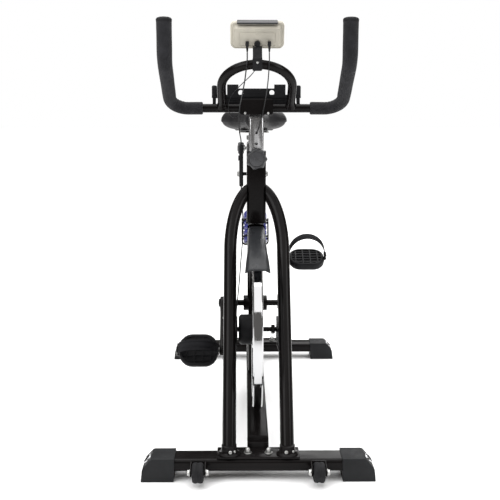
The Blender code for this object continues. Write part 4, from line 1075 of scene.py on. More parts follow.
class BIKE_OT_head_tube(PieceOperator):
    """Make the head tube with its bolts and the guard beside it"""

    bl_idname = "bike.head_tube"
    bl_label = "Head tube"

    def execute(self, context):
        lo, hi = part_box("head_tube")
        at = Matrix.Translation((0, HEAD.y, lo.z))
        size = hi - lo
        head = square_tube("head_column", size.x, size.y, size.z, 0.008, 0.0055, 8, at)
        fitted(head, "frame", "black_paint", "head_tube")
        sleeve = square_tube("head_sleeve", 0.0505, 0.0505, 0.004, 0.0085, 0.0, 8,
                             Matrix.Translation((0, HEAD.y, hi.z - 0.0022)))
        bore = square_tube("bore", 0.0386, 0.0386, 0.02, 0.006, 0.0, 6,
                           Matrix.Translation((0, HEAD.y, hi.z - 0.01)))
        fitted(cut(sleeve, bore), "frame", "black_plastic")
        guard = refined("lead_channel", "lead_guard", 0.0008)
        fitted(guard, "frame", "black_plastic")
        clip = box("channel_clip", (0.0035, 0.010, 0.013), (-0.0452, HEAD.y, 0.716), 0.0012, 3)
        fitted(clip, "frame", "black_plastic")
        bolts = []
        for side, start in ((1, 0.0252), (-1, 0.0446)):
            face = Vector((side * start, HEAD.y, 0.675))
            bolts += bolt_head(face, side, 0.0085, 0.0065, 0.0042)
        fitted(joined("head_bolts", bolts), "frame", "zinc")
        return {"FINISHED"}


class BIKE_OT_frame_tubes(PieceOperator):
    """Finish the main tube, the seat tube, the floor rail and their bolts"""

    bl_idname = "bike.frame_tubes"
    bl_label = "Frame tubes"

    def execute(self, context):
        for name, node in (
            ("main_beam", "main_tube"), ("seat_column", "seat_tube"), ("floor_rail", "bottom_rail")
        ):
            fitted(refined(name, node, 0.0010), "frame", "black_paint", angle=42)
        plate_top = SUPPORT_TOP + 0.0063
        front = middle("front_stabiliser").y - 0.004
        rear = middle("rear_stabiliser").y
        nuts = [
            acorn_nut((x, y, plate_top), (0, 0, 1), 0.0070)
            for x, y in ((-0.0240, front), (0.0240, front), (-0.063, rear), (0.063, rear))
        ]
        fitted(joined("support_nuts", nuts), "frame", "zinc", angle=32)
        welds = []
        for x in (-1, 1):
            path = [Vector((x * 0.0255, HEAD.y - 0.022 + 0.0044 * n, 0.5475)) for n in range(11)]
            welds.append(self.weld(path, 0.0016))
        for y in (0.0, 0.045):
            path = [Vector((-0.022 + 0.0044 * n, CRANK.y + y - 0.0228, 0.0866)) for n in range(11)]
            welds.append(self.weld(path, 0.0020))
        fitted(joined("weld_beads", welds), "frame", "black_paint", angle=60)
        return {"FINISHED"}

    def weld(self, path, radius):
        fine = evenly(path, 0.0012, smooth=False)
        swell = [1.0 + 0.22 * math.cos(index * 1.9) for index in range(len(fine))]
        swell[0] = swell[-1] = 0.3
        return tube("weld", fine, radius, 10, swell)


class BIKE_OT_fender(PieceOperator):
    """Shape the shroud over the flywheel's top"""

    bl_idname = "bike.fender"
    bl_label = "Fender"

    reach = 0.2195
    top_end = (-0.1121, 0.5385)

    def centre_line(self):
        """Places and turns of the shroud's sections: an arc over the wheel, then straight on."""
        path = []
        for step in range(13):
            turn = math.radians(-36 + 22 * step / 12)
            y = WHEEL.y + self.reach * math.sin(turn)
            path.append((y, WHEEL.z + self.reach * math.cos(turn), turn))
        last_y, last_z, _ = path[-1]
        end_y, end_z = self.top_end
        for share in (0.2, 0.4, 0.6, 0.8, 1.0):
            y = last_y + (end_y - last_y) * share
            z = last_z + (end_z - last_z) * share
            path.append((y, z, math.radians(-13 - (1 - share))))
        return path

    def execute(self, context):
        path = self.centre_line()
        rings = []
        for index, (y, z, turn) in enumerate(path):
            share = index / (len(path) - 1)
            half = 0.030 - 0.008 * share
            panel = 0.018 - 0.001 * share
            lip = 0.0012 if index < 2 else 0.0
            section = [(-half, -0.0092), (-half - 0.0002, -0.0080)]
            for step in range(7):
                part = step / 6
                across = half + (panel - half) * part
                section.append((-across, -0.0075 + 0.0095 * math.sin(part * math.pi / 2) + lip))
            crown = [(-panel * 0.5, 0.0028 + lip), (0, 0.0031 + lip), (panel * 0.5, 0.0028 + lip)]
            section += crown + [(-x, out) for x, out in reversed(section)]
            section += [(half - 0.003, -0.0092), (panel, -0.0025), (0, -0.0015)]
            section += [(-panel, -0.0025), (-half + 0.003, -0.0092)]
            rings.append([
                Vector((x, y + out * math.sin(turn), z + out * math.cos(turn)))
                for x, out in section
            ])
        shroud = softened(drawn_out("wheel_shroud", rings), 0.0006, 2, 50)
        fitted(shroud, "frame", "fender_plastic", "wheel_fender", angle=45)
        return {"FINISHED"}


class BIKE_OT_flywheel(PieceOperator):
    """Turn the flywheel, its hub cover, axle and nuts"""

    bl_idname = "bike.flywheel"
    bl_label = "Flywheel"

    def execute(self, context):
        half = 0.012
        rim = WHEEL_RADIUS
        front = [
            (half - 0.0032, rim - 0.0004), (half - 0.0026, rim - 0.0008),
            (half - 0.0006, rim - 0.0030), (half, rim - 0.0042), (half, 0.1700),
            (half - 0.0008, 0.1672), (0.0060, 0.1622), (0.0048, 0.1590), (0.0046, 0.1200),
            (0.0040, 0.0560), (0.0052, 0.0530), (half - 0.0008, 0.0470), (half, 0.0455),
            (half, AXLE_BORE),
        ]
        profile = [(0.0, rim)] + front + [(-x, r) for x, r in reversed(front)]
        wheel = lathe("wheel", profile, self.sizes.wheel_steps, WHEEL, closed=True)
        fitted(wheel, "flywheel_set", "polished_steel", "flywheel", angle=14)
        cover = [
            (-0.0460, AXLE_BORE), (-0.0460, 0.0300), (-0.0448, 0.0335), (-0.0440, 0.0340),
            (-0.0425, 0.0362), (-0.0400, 0.0378), (-0.0370, 0.0380), (-0.0160, 0.0380),
            (-0.0150, 0.0375), (-0.0123, 0.0375), (-0.0123, AXLE_BORE),
        ]
        fitted(
            lathe("hub_cover", cover, 64, WHEEL, closed=True),
            "flywheel_set", "black_plastic", "flywheel_hub_cover", angle=30,
        )
        shaft = [
            (-0.0760, 0), (-0.0760, 0.0050), (-0.0750, SPINDLE_RADIUS),
            (0.0630, SPINDLE_RADIUS), (0.0640, 0.0050), (0.0640, 0),
        ]
        plate_out = Vector((0.0555, 0, 0))
        pieces = [lathe("shaft", shaft, 28, WHEEL)]
        pieces.append(hex_piece(WHEEL + Vector((0.0362, 0, 0)), (1, 0, 0), 0.0120, 0.0096))
        pieces += bolt_head(WHEEL + plate_out, 1, 0.0120, 0.0095, 0.0060, 0.0018)
        pieces.append(washer(WHEEL - plate_out, (-1, 0, 0), 0.0120, 0.0018))
        fitted(joined("axle_and_nuts", pieces), "flywheel_set", "zinc", "flywheel_axle",
               finish="black_paint", angle=30)
        return {"FINISHED"}


class BIKE_OT_belt_drive(PieceOperator):
    """Finish the pulleys, the ribbed belt and the guard over them"""

    bl_idname = "bike.belt_drive"
    bl_label = "Belt drive"

    def execute(self, context):
        x = middle("large_pulley").x
        half, radius = 0.007, 0.0920
        face = [
            (half - 0.0007, radius), (half - 0.0007, radius + 0.003), (half, radius + 0.0028),
            (half, 0.0820), (half - 0.0035, 0.0780), (half - 0.0035, 0.0330), (half, 0.0300),
            (half, 0.0089),
        ]
        wheel = [(-x, r) for x, r in reversed(face)] + face
        pulley = lathe("belt_pulley", wheel, 96, (x, CRANK.y, CRANK.z), closed=True)
        for turn in range(6):
            angle = math.tau * turn / 6
            place = (x, CRANK.y + 0.0555 * math.cos(angle), CRANK.z + 0.0555 * math.sin(angle))
            hole = lathe("hole", [(-0.02, 0), (-0.02, 0.015), (0.02, 0.015), (0.02, 0)], 32, place)
            cut(pulley, hole)
        fitted(pulley, "crank_set", "black_plastic", "large_pulley", angle=30)
        fitted(refined("wheel_pulley", "small_pulley", 0.0002), "flywheel_set", "zinc")
        belt = refined("poly_belt", "drive_belt", 0.0004)
        fitted(belt, "frame", "black_rubber", finish="belt_rubber")
        guard = refined("belt_cover", "belt_guard", 0.0)
        with editing(guard, "EDGE"):
            pick(guard, "edges", lambda edge: len(edge.link_faces) == 2
                 and max(vert.co.x for vert in edge.verts) < BELT_COVER_FACE
                 and edge.calc_face_angle(0) > 0.9)
            bpy.ops.mesh.bevel(offset=0.0045, segments=5, profile=0.5, affect="EDGES")
        fitted(guard, "frame", "black_plastic", angle=42)
        screws = []
        for y, z in ((0.0, WHEEL.z + 0.030), (0.150, 0.358), (0.150, 0.222)):
            screws.append(screw_head((BELT_COVER_FACE, WHEEL.y + y, z), (-1, 0, 0), 0.0045))
        fitted(joined("cover_screws", screws), "frame", "zinc")
        raised = [(-0.0837, 0.0300), (-0.0845, 0.0330), (-0.0845, 0.0380), (-0.0837, 0.0410)]
        raised += [(-0.0820, 0.0420), (-0.0820, 0.0290)]
        ring = lathe("cover_ring", raised, 64, (0, CRANK.y, CRANK.z), closed=True)
        fitted(ring, "frame", "black_plastic")
        return {"FINISHED"}


class BIKE_OT_brake(PieceOperator):
    """Finish the felt brake shoe and its screw"""

    bl_idname = "bike.brake"
    bl_label = "Brake"

    def execute(self, context):
        fitted(refined("brake_shoe", "brake_pad", 0.0007), "brake_pad", "felt")
        profile = [(0.2105, 0), (0.2105, 0.0115), (0.2125, 0.0120), (0.2130, 0.0053)]
        for thread in range(40):
            start = 0.2140 + thread * 0.0022
            profile += [(start, 0.0051), (start + 0.0011, 0.0054)]
        profile += [(0.3120, 0.0050), (0.3120, 0)]
        screw = lathe("brake_screw", profile, 20, WHEEL, BRAKE_WAY)
        fitted(screw, "brake_pad", "zinc", angle=30)
        return {"FINISHED"}


def crank_end(distance, side):
    """A point along a crank arm, on the bike's middle plane."""
    return Vector((
        0,
        CRANK.y + side * distance * math.cos(CRANK_ANGLE),
        CRANK.z + side * distance * math.sin(CRANK_ANGLE),
    ))


class BIKE_OT_cranks(PieceOperator):
    """Forge the crank arms, with their spindles and axle caps"""

    bl_idname = "bike.cranks"
    bl_label = "Cranks"

    def execute(self, context):
        fitted(refined("axle_shaft", "crank_axle", 0.0004), "crank_set", "zinc",
               finish="black_paint")
        for name, side, hub, end in (("left", 1, 0.072, 0.092), ("right", -1, -0.094, -0.094)):
            self.arm(name, side, hub, end)
            tip = crank_end(CRANK_LENGTH, side)
            tip.x = end
            shaft = [
                (-0.0060, 0), (-0.0060, SPINDLE_RADIUS), (0.0068, SPINDLE_RADIUS),
                (0.0068, 0.0088), (0.0100, 0.0088), (0.0106, SPINDLE_RADIUS),
                (0.099, SPINDLE_RADIUS), (0.100, 0.0050), (0.100, 0),
            ]
            spindle = lathe(f"pedal_spindle_{name}", shaft, 28, tip, (side, 0, 0))
            fitted(spindle, "crank_set", "zinc", angle=30)
            hub_face = Vector((hub + side * 0.0079, CRANK.y, CRANK.z))
            dome = [
                (0, 0), (0, 0.0118), (0.0012, 0.0122), (0.0030, 0.0116), (0.0042, 0.0090),
                (0.0048, 0.0050), (0.0050, 0),
            ]
            cap = lathe(f"crank_cap_{name}", dome, 40, hub_face, (side, 0, 0))
            fitted(cap, "crank_set", "black_plastic")
        return {"FINISHED"}

    def arm(self, name, side, hub, end):
        # Distance from the axle, place across the bike, half the width and the thickness.
        rows = (
            (-0.0182, hub, 0.0040, 0.0120), (-0.0170, hub, 0.0080, 0.0140),
            (-0.0130, hub, 0.0132, 0.0156), (-0.0080, hub, 0.0163, 0.0160),
            (0.0000, hub, 0.0180, 0.0160), (0.0100, hub, 0.0168, 0.0160),
            (0.0200, hub, 0.0150, 0.0155), (0.0500, hub * 0.6 + end * 0.4, 0.0122, 0.0132),
            (0.0900, hub * 0.22 + end * 0.78, 0.0113, 0.0124), (0.1300, end, 0.0110, 0.0120),
            (0.1500, end, 0.0116, 0.0124), (CRANK_LENGTH - 0.0100, end, 0.0130, 0.0130),
            (CRANK_LENGTH, end, 0.0132, 0.0130), (CRANK_LENGTH + 0.0070, end, 0.0112, 0.0128),
            (CRANK_LENGTH + 0.0120, end, 0.0072, 0.0116),
            (CRANK_LENGTH + 0.0140, end, 0.0030, 0.0100),
        )
        rings = []
        for distance, across, half, thick in rows:
            outline = rounded_outline(thick, 2 * half, min(thick, 2 * half) * 0.32, 5)
            rings.append([Vector((across + x, distance, z)) for x, z in outline])
        turn = CRANK_ANGLE + (0 if side > 0 else math.pi)
        place = Matrix.Translation(CRANK) @ Matrix.Rotation(turn, 4, "X")
        arm = drawn_out(f"crank_{name}", rings, place)
        fitted(arm, "crank_set", "black_paint", f"crank_arm_{name}", angle=50)


class BIKE_OT_pedals(PieceOperator):
    """Mould the pedals with their tread, and fit the toe straps and buckles"""

    bl_idname = "bike.pedals"
    bl_label = "Pedals"

    width, length, thick, corner = 0.106, 0.090, 0.024, 0.036
    rib_inset = 0.0068

    def execute(self, context):
        for name, side, tip in (("left", 1, 22), ("right", -1, 62)):
            place = crank_end(CRANK_LENGTH, side) + Vector((side * 0.158, 0, 0))
            matrix = Matrix.Translation(place) @ Matrix.Rotation(math.radians(tip), 4, "X")
            body = f"{name}_pedal"
            fitted(self.platform(name, matrix), body, "black_plastic", f"pedal_{name}", angle=42)
            fitted(self.axle_boss(name, side, matrix), body, "black_plastic")
            self.toe_strap(name, side, body, matrix)
        return {"FINISHED"}

    def reach(self, across, inset):
        """Half the platform's length at a distance from its middle, less an inset."""
        over = abs(across) - (self.width / 2 - inset - self.corner)
        if over <= 0:
            return self.length / 2 - inset
        rounding = math.sqrt(max(0.0, self.corner**2 - over**2))
        return self.length / 2 - inset - self.corner + rounding

    def platform(self, name, matrix):
        rings = []
        half = self.thick / 2
        for height, inset in (
            (-half, 0.0050), (-half + 0.0008, 0.0036), (-half + 0.0040, 0.0012),
            (-half + 0.0075, 0.0), (half - 0.0060, 0.0), (half - 0.0024, 0.0010),
            (half - 0.0005, 0.0028), (half, 0.0040),
        ):
            width, length = self.width - 2 * inset, self.length - 2 * inset
            outline = rounded_outline(width, length, self.corner - inset, 9)
            rings.append([Vector((x, y, height)) for x, y in outline])
        platform = drawn_out(f"pedal_body_{name}", rings)
        depth = self.sizes.tread_depth
        for end in (1, -1):
            with editing(platform, "FACE"):
                pick(platform, "faces", lambda face: face.normal.z * end > 0.9
                     and abs(face.calc_center_median().z - end * half) < 1e-4)
                bpy.ops.mesh.inset(thickness=0.0040)
                bpy.ops.mesh.extrude_region_move(
                    TRANSFORM_OT_translate={"value": (0, 0, -end * depth)}
                )
        softened(platform, 0.0004, 1, 50)
        ribs = [platform]
        for end in (1, -1):
            level = end * (half - depth / 2 - 0.0006)
            for across in (-0.0330, -0.0110, 0.0110, 0.0330):
                run = 2 * self.reach(across, self.rib_inset)
                ribs.append(box("rib", (0.0034, run, depth), (across, 0, level), 0.0005, 1))
            for along in (-0.0285, -0.0142, 0.0, 0.0142, 0.0285):
                span = 0.5 * self.width - self.rib_inset
                while self.reach(span, self.rib_inset) < abs(along) and span > 0.01:
                    span -= 0.0005
                size = (2 * span, 0.0028, depth - 0.0008)
                ribs.append(box("rib", size, (0, along, level), 0.0005, 1))
        return settled(joined(f"pedal_body_{name}", ribs), matrix)

    def axle_boss(self, name, side, matrix):
        inner = -side * 0.0535
        boss = [(0, 0.0070), (0, 0.0096), (0.0008, 0.0104), (0.0060, 0.0104), (0.0060, 0.0070)]
        inner_boss = lathe("boss", boss, 32, (inner, 0, 0), (side, 0, 0), closed=True)
        cap = [(0, 0), (0, 0.0092), (0.0016, 0.0088), (0.0026, 0.0070), (0.0030, 0.0)]
        outer_cap = lathe("cap", cap, 32, (side * 0.0526, 0, 0), (side, 0, 0))
        return settled(joined(f"pedal_boss_{name}", [inner_boss, outer_cap]), matrix)

    def toe_strap(self, name, side, body, matrix):
        half = self.width / 2 + 0.0018
        arch = [(-half, 0.0078), (-half, 0.0140), (-half, 0.0200)]
        arch += [(x, 0.02 + 1.14 * (z - 0.02)) for x, z in arc((0, 0.02), half, 165, 15, 26)]
        arch += [(half, 0.0200), (half, 0.0140), (half, 0.0078)]
        # Across the strap: its edges, two pressed channels and the raised middle.
        section = [(-0.0140, 0.0004), (-0.0132, 0.00125), (-0.0096, 0.00125), (-0.0086, 0.0005)]
        section += [(-0.0066, 0.0005), (-0.0056, 0.00125), (0.0, 0.0016)]
        section += [(-y, out) for y, out in reversed(section[:-1])]
        rings = []
        for index, (x, height) in enumerate(arch):
            before = Vector(arch[max(index - 1, 0)])
            after = Vector(arch[min(index + 1, len(arch) - 1)])
            along = (after - before).normalized()
            outward = Vector((-along.y, along.x))
            ring = [(x + outward.x * out, y, height + outward.y * out) for y, out in section]
            ring += [
                (x - outward.x * 0.00125, y, height - outward.y * 0.00125)
                for y in (0.0136, 0.0050, -0.0050, -0.0136)
            ]
            rings.append([Vector(point) for point in ring])
        strap = drawn_out(f"strap_{name}", rings)
        for hole in range(4):
            angle = math.radians(8 + hole * 9)
            place = (side * half * math.cos(angle), 0, 0.0200 + half * math.sin(angle))
            turn = (0, -side * angle, 0)
            cut(strap, box("slot", (0.010, 0.0034, 0.0044), place, 0.0008, 2, turn))
        fitted(settled(strap, matrix), body, "black_rubber", f"toe_strap_{name}",
               finish="strap_plastic", angle=35)
        pieces = [
            box("buckle", (0.0050, 0.0345, 0.0105), (side * (half + 0.0010), 0, 0.0135), 0.0012, 3),
            box("tongue", (0.0040, 0.0160, 0.0070), (side * (half + 0.0036), 0, 0.0190), 0.0010, 2,
                (0, -side * 0.3, 0)),
        ]
        buckle = settled(joined(f"strap_buckle_{name}", pieces), matrix)
        fitted(buckle, body, "black_plastic")
        pins = [
            lathe("pin", [(-0.0150, 0), (-0.0150, 0.0012), (0.0150, 0.0012), (0.0150, 0)], 14,
                  (side * (half + 0.0040), 0, 0.0102), (0, 1, 0)),
            screw_head((side * (half + 0.0034), 0.0, 0.0158), (side, 0, 0), 0.0026),
        ]
        fitted(settled(joined(f"strap_pin_{name}", pins), matrix), body, "zinc")


class BIKE_OT_post_and_stem(PieceOperator):
    """Make the drilled handlebar post and the stem that clamps the bar"""

    bl_idname = "bike.post_and_stem"
    bl_label = "Post and stem"

    def execute(self, context):
        lo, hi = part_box("handlebar_post")
        at = Matrix.Translation((0, HEAD.y, lo.z))
        size = hi - lo
        post = square_tube("bar_post", size.x, size.y, size.z, 0.006, 0.0, 8, at)
        hollow = box("hollow", (0.034, 0.034, 0.165), (0, HEAD.y, lo.z + 0.09), 0)
        cut(post, hollow)
        for index in range(5):
            height = 0.782 - index * 0.028
            hole = lathe("hole", [(-0.006, 0), (-0.006, 0.0038), (0.006, 0.0038), (0.006, 0)], 28,
                         (0, lo.y, height), (0, 1, 0))
            cut(post, hole)
        fitted(post, "handlebar_set", "plated_tube", "handlebar_post")
        stem = refined("stem_clamp", "stem_block", 0.0030, 4)
        fitted(stem, "handlebar_set", "black_paint", finish="stem_paint", angle=42)
        stem_face = HEAD.y - 0.0572
        heads = [
            screw_head((x, stem_face - 0.0003, 0.8315), (0, -1, 0), 0.0030)
            for x in (-0.029, 0.029)
        ]
        fitted(joined("stem_screws", heads), "handlebar_set", "zinc")
        return {"FINISHED"}


def bar_path(side, first=0.0):
    """The middle line of half the handlebar, from a distance beside the post to its top."""
    corners = [
        (side * first, BAR.y, BAR.z), (side * HORN_OUT, BAR.y, BAR.z),
        (side * HORN_OUT, BAR.y - HORN_FORWARD, BAR.z + HORN_RISE),
        (side * HORN_OUT, BAR.y - HORN_FORWARD, HORN_TOP),
    ]
    return rounded_path(corners, HORN_BEND)


def loop_place(across, up):
    """A point in the sloping plane of the centre loop."""
    slope = math.atan2(HORN_RISE, HORN_FORWARD)
    return Vector((across, BAR.y - up * math.cos(slope), BAR.z + up * math.sin(slope)))


class BIKE_OT_handlebar(PieceOperator):
    """Bend the handlebar and the centre loop, and pull on the foam grips"""

    bl_idname = "bike.handlebar"
    bl_label = "Handlebar"

    def execute(self, context):
        radius = self.sizes.bar_diameter / 2
        path = list(reversed(bar_path(-1)[1:])) + bar_path(1)[1:]
        bar = tube("bar_tube", path, radius, 32)
        fitted(bar, "handlebar_set", "black_paint", "handlebar")
        ups = [0.0095, 0.0125, 0.0165, 0.0210, 0.0260, 0.0340, 0.0600, LOOP_LEG]
        swell = [1.32, 1.28, 1.17, 1.06, 1.0, 1.0, 1.0, 1.0]
        loop = [loop_place(LOOP_HALF, up) for up in ups]
        loop += [loop_place(x, up) for x, up in arc((0, LOOP_LEG), LOOP_HALF, 4, 176, 44)]
        loop += [loop_place(-LOOP_HALF, up) for up in reversed(ups)]
        radii = swell + [1.0] * 45 + swell[::-1]
        loop_tube = tube("loop_tube", loop, radius, 32, radii)
        fitted(loop_tube, "handlebar_set", "black_paint", "centre_loop")
        for name, side in (("left", 1), ("right", -1)):
            self.grip(name, side)
        return {"FINISHED"}

    def grip(self, name, side):
        step = 0.0018
        path = evenly(bar_path(side, 0.137), step, smooth=False)
        wrinkle = self.sizes.grip_wrinkle
        count = len(path)
        bends = []
        for index, point in enumerate(path):
            before, after = path[max(index - 4, 0)], path[min(index + 4, count - 1)]
            bends.append((before + after) / 2 - point)
        rolls = random.Random(11 + side)
        phase = [rolls.uniform(-0.5, 0.5) for _ in range(count)]

        def radius_at(index, out):
            share = min(max((path[index].z - BAR.z) / (HORN_RISE + 0.02), 0.0), 1.0)
            radius = 0.0160 + 0.0022 * share
            from_start = index * step
            if from_start < 0.003:
                radius -= 0.0016 * (1 - from_start / 0.003) ** 2
            bend = min(bends[index].length / 0.0006, 1.0)
            if bend > 0.05:
                inside = max(0.0, out.dot(bends[index].normalized()))
                fold = 0.5 + 0.5 * math.sin(index * 1.05 + phase[index])
                radius -= wrinkle * bend * inside**1.5 * fold
            slow = math.sin(index * 0.11 + 3 * out.x) * math.cos(index * 0.047 + 2 * out.z)
            return radius + 0.00022 * slow

        rings = rings_along(path, radius_at, 40)
        grip = drawn_out(f"foam_{name}", rings)
        fitted(grip, "handlebar_set", "grip_foam", f"grip_{name}", angle=60)
        dome = [
            (-0.0040, 0), (-0.0040, 0.0186), (0.0004, 0.0189), (0.0022, 0.0184),
            (0.0046, 0.0160), (0.0062, 0.0115), (0.0070, 0.0055), (0.0072, 0),
        ]
        end = lathe(f"grip_end_{name}", dome, 48, path[-1], (0, 0, 1))
        fitted(end, "handlebar_set", "grip_foam", finish="black_rubber", angle=50)


class BIKE_OT_elbow_rest(PieceOperator):
    """Mould the elbow rest behind the cross tube"""

    bl_idname = "bike.elbow_rest"
    bl_label = "Elbow rest"

    def execute(self, context):
        tray = refined("elbow_tray", "elbow_rest", 0.0016, 3)
        fitted(tray, "handlebar_set", "black_plastic", angle=45)
        lo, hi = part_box("elbow_rest")
        pads = []
        for side in (-1, 1):
            size = (0.062, hi.y - lo.y - 0.016, 0.0035)
            centre = (side * 0.064, (lo.y + hi.y) / 2 + 0.002, 0.8768)
            pads.append(box("pad", size, centre, 0.0016, 3))
        fitted(joined("elbow_pads", pads), "handlebar_set", "black_rubber")
        feet = [box("skirt", (0.100, 0.004, 0.032), (0, lo.y + 0.0035, 0.8600), 0.0015, 2)]
        for side in (-1, 1):
            feet += self.foot(side, lo.y)
        fitted(joined("elbow_feet", feet), "handlebar_set", "black_plastic", angle=45)
        return {"FINISHED"}

    def foot(self, side, front):
        """A cheek beside the tray, and the saddle and two ties that hold it to the bar."""
        cheek = [
            (front + 0.001, 0.8990), (front + 0.004, 0.9015), (front + 0.030, 0.9015),
            (front + 0.048, 0.8800), (front + 0.030, 0.8600), (front + 0.010, 0.8460),
            (front - 0.001, 0.8460), (front + 0.001, 0.8600),
        ]
        ends = sorted((side * 0.1045, side * 0.1125))
        rings = [[Vector((x, y, z)) for y, z in cheek] for x in ends]
        pieces = [softened(drawn_out("cheek", rings), 0.0020, 3, 30)]
        size = (0.040, 0.010, 0.026)
        pieces.append(box("saddle_foot", size, (side * 0.061, front + 0.007, 0.8605), 0.0030, 3))
        for height, z in ((0.006, 0.8520), (0.005, 0.8660)):
            place = (side * 0.058, front + 0.004, z)
            pieces.append(box("tie", (0.036, 0.006, height), place, 0.0015, 2))
        return pieces


class BIKE_OT_console(PieceOperator):
    """Mould the console, its window, button, bracket and fasteners"""

    bl_idname = "bike.console"
    bl_label = "Console"

    width, height = 0.128, 0.066

    def layer(self, depth, inset):
        """The console's outline at a depth, drawn in from its widest by an inset."""
        width, height = self.width - 2 * inset, self.height - 2 * inset
        outline = rounded_outline(width, height, max(0.012 - inset * 0.4, 0.003), 8)
        return [Vector((x, depth, z)) for x, z in outline]

    def execute(self, context):
        shell = drawn_out("console_back", [
            self.layer(CONSOLE_BACK, 0.0125), self.layer(-0.0147, 0.0110),
            self.layer(-0.0140, 0.0100), self.layer(-0.0080, 0.0084),
            self.layer(-0.0020, 0.0072), self.layer(0.0004, 0.0064),
            self.layer(0.0010, 0.0030), self.layer(0.0016, 0.0016),
            self.layer(0.0066, 0.0008),
        ])
        self.notch(shell, 0.0012, 0.0065, 0.0058)
        cut(shell, drawn_out("door_line", self.groove(0.0840, 0.0330)))
        fitted(settled(shell, CONSOLE), "handlebar_set", "console_shell", "console_shell", angle=30)
        door = box("battery_door", (0.0826, 0.0016, 0.0316), (0.0, -0.01445, -0.0020), 0.0005, 2)
        self.notch(door, 0.0005, 0.0060, 0.0054)
        fitted(settled(door, CONSOLE), "handlebar_set", "console_shell", angle=30)

        rim = drawn_out("console_front", [
            self.layer(0.0072, 0.0010), self.layer(0.0080, 0.0), self.layer(0.0112, 0.0),
            self.layer(0.0124, 0.0006), self.layer(0.0130, 0.0018), self.layer(0.0130, 0.0040),
            self.layer(0.0122, 0.0048), self.layer(0.0122, 0.0060),
        ])
        fitted(settled(rim, CONSOLE), "handlebar_set", "console_bezel", "console_bezel", angle=30)
        window = box("console_window", (0.0980, 0.0026, 0.0340), (0, 0.0128, 0.0100), 0.0012, 4,
                     matrix=CONSOLE)
        fitted(window, "handlebar_set", "console_bezel", finish="display_window")
        visor = box("window_visor", (0.0960, 0.0210, 0.0040), (0, 0.0030, 0.0322), 0.0016, 4,
                    matrix=CONSOLE)
        fitted(visor, "handlebar_set", "console_bezel", finish="display_window")
        glass = box("display_panel", (0.0700, 0.0010, 0.0220), (0, 0.0140, 0.0085), 0.0004, 2,
                    matrix=CONSOLE)
        fitted(glass, "handlebar_set", "console_bezel", finish="display_glass")
        self.digits()
        button = middle("console_button")
        out = CONSOLE.to_3x3() @ Vector((0, 1, 0))
        profile = [(-0.0025, 0), (-0.0025, 0.0070), (0.0010, 0.0072), (0.0020, 0.0066)]
        profile += [(0.0024, 0.0050), (0.0020, 0.0030), (0.0018, 0)]
        press = lathe("button", profile, 40, button, out)
        fitted(press, "console_button", "black_plastic", "console_button")
        self.bracket()
        return {"FINISHED"}

    def notch(self, piece, depth, outer, inner):
        """Cuts the six-sided finger notch at the top of the battery door."""
        profile = [(-0.003, 0), (-0.003, outer), (depth, inner), (depth, 0)]
        cut(piece, lathe("notch", profile, 6, (0, CONSOLE_BACK, 0.0105), (0, 1, 0)))

    def groove(self, width, height):
        """A thin slab whose edge leaves a fine line round the battery door."""
        outline = rounded_outline(width, height, 0.003, 4)
        depths = (-0.020, -0.01425)
        return [[Vector((x, depth, z - 0.0020)) for x, z in outline] for depth in depths]

    def digits(self):
        """Four noughts of a plain segment display."""
        # Each bar's place in a figure, across and up, and whether it lies level.
        spots = (
            (0, 1, True), (0, -1, True), (-1, 0.5, False), (1, 0.5, False),
            (-1, -0.5, False), (1, -0.5, False),
        )
        bars = []
        for figure in range(4):
            across = 0.0200 - figure * 0.0125 - (0.003 if figure > 1 else 0)
            for x, z, level in spots:
                size = (0.0052, 0.0006, 0.0012) if level else (0.0012, 0.0006, 0.0052)
                centre = (across - x * 0.0034, 0.0146, 0.0085 + z * 0.0066)
                bars.append(box("bar", size, centre, 0.0002, 1))
        figures = settled(joined("display_figures", bars), CONSOLE)
        fitted(figures, "handlebar_set", "console_bezel", finish="display_window")

    def bracket(self):
        strap = refined("console_strap", "console_bracket", 0.0007)
        top = CONSOLE @ Vector((0, CONSOLE_BACK, -0.0176))
        trimmed(strap, top, CONSOLE.to_3x3() @ Vector((0, 0, 1)))
        fitted(strap, "handlebar_set", "black_plastic", angle=42)
        lo = low("console_bracket")
        oval = screw_head((0, lo.y + 0.0010, 0.9490), (0, -1, 0.12), 0.0030)
        fitted(oval, "handlebar_set", "zinc")
        back = CONSOLE @ Vector((0, CONSOLE_BACK, -0.0125))
        out = CONSOLE.to_3x3() @ Vector((0, -1, 0))
        profile = [
            (0, 0), (0, 0.0042), (0.0016, 0.0042), (0.0018, 0.0066), (0.0024, 0.0072),
            (0.0058, 0.0072), (0.0064, 0.0066), (0.0066, 0.0040), (0.0060, 0.0034), (0.0060, 0),
        ]
        thumb = lathe("thumb_screw", profile, 20, back, out)
        fitted(thumb, "handlebar_set", "black_plastic", angle=20)


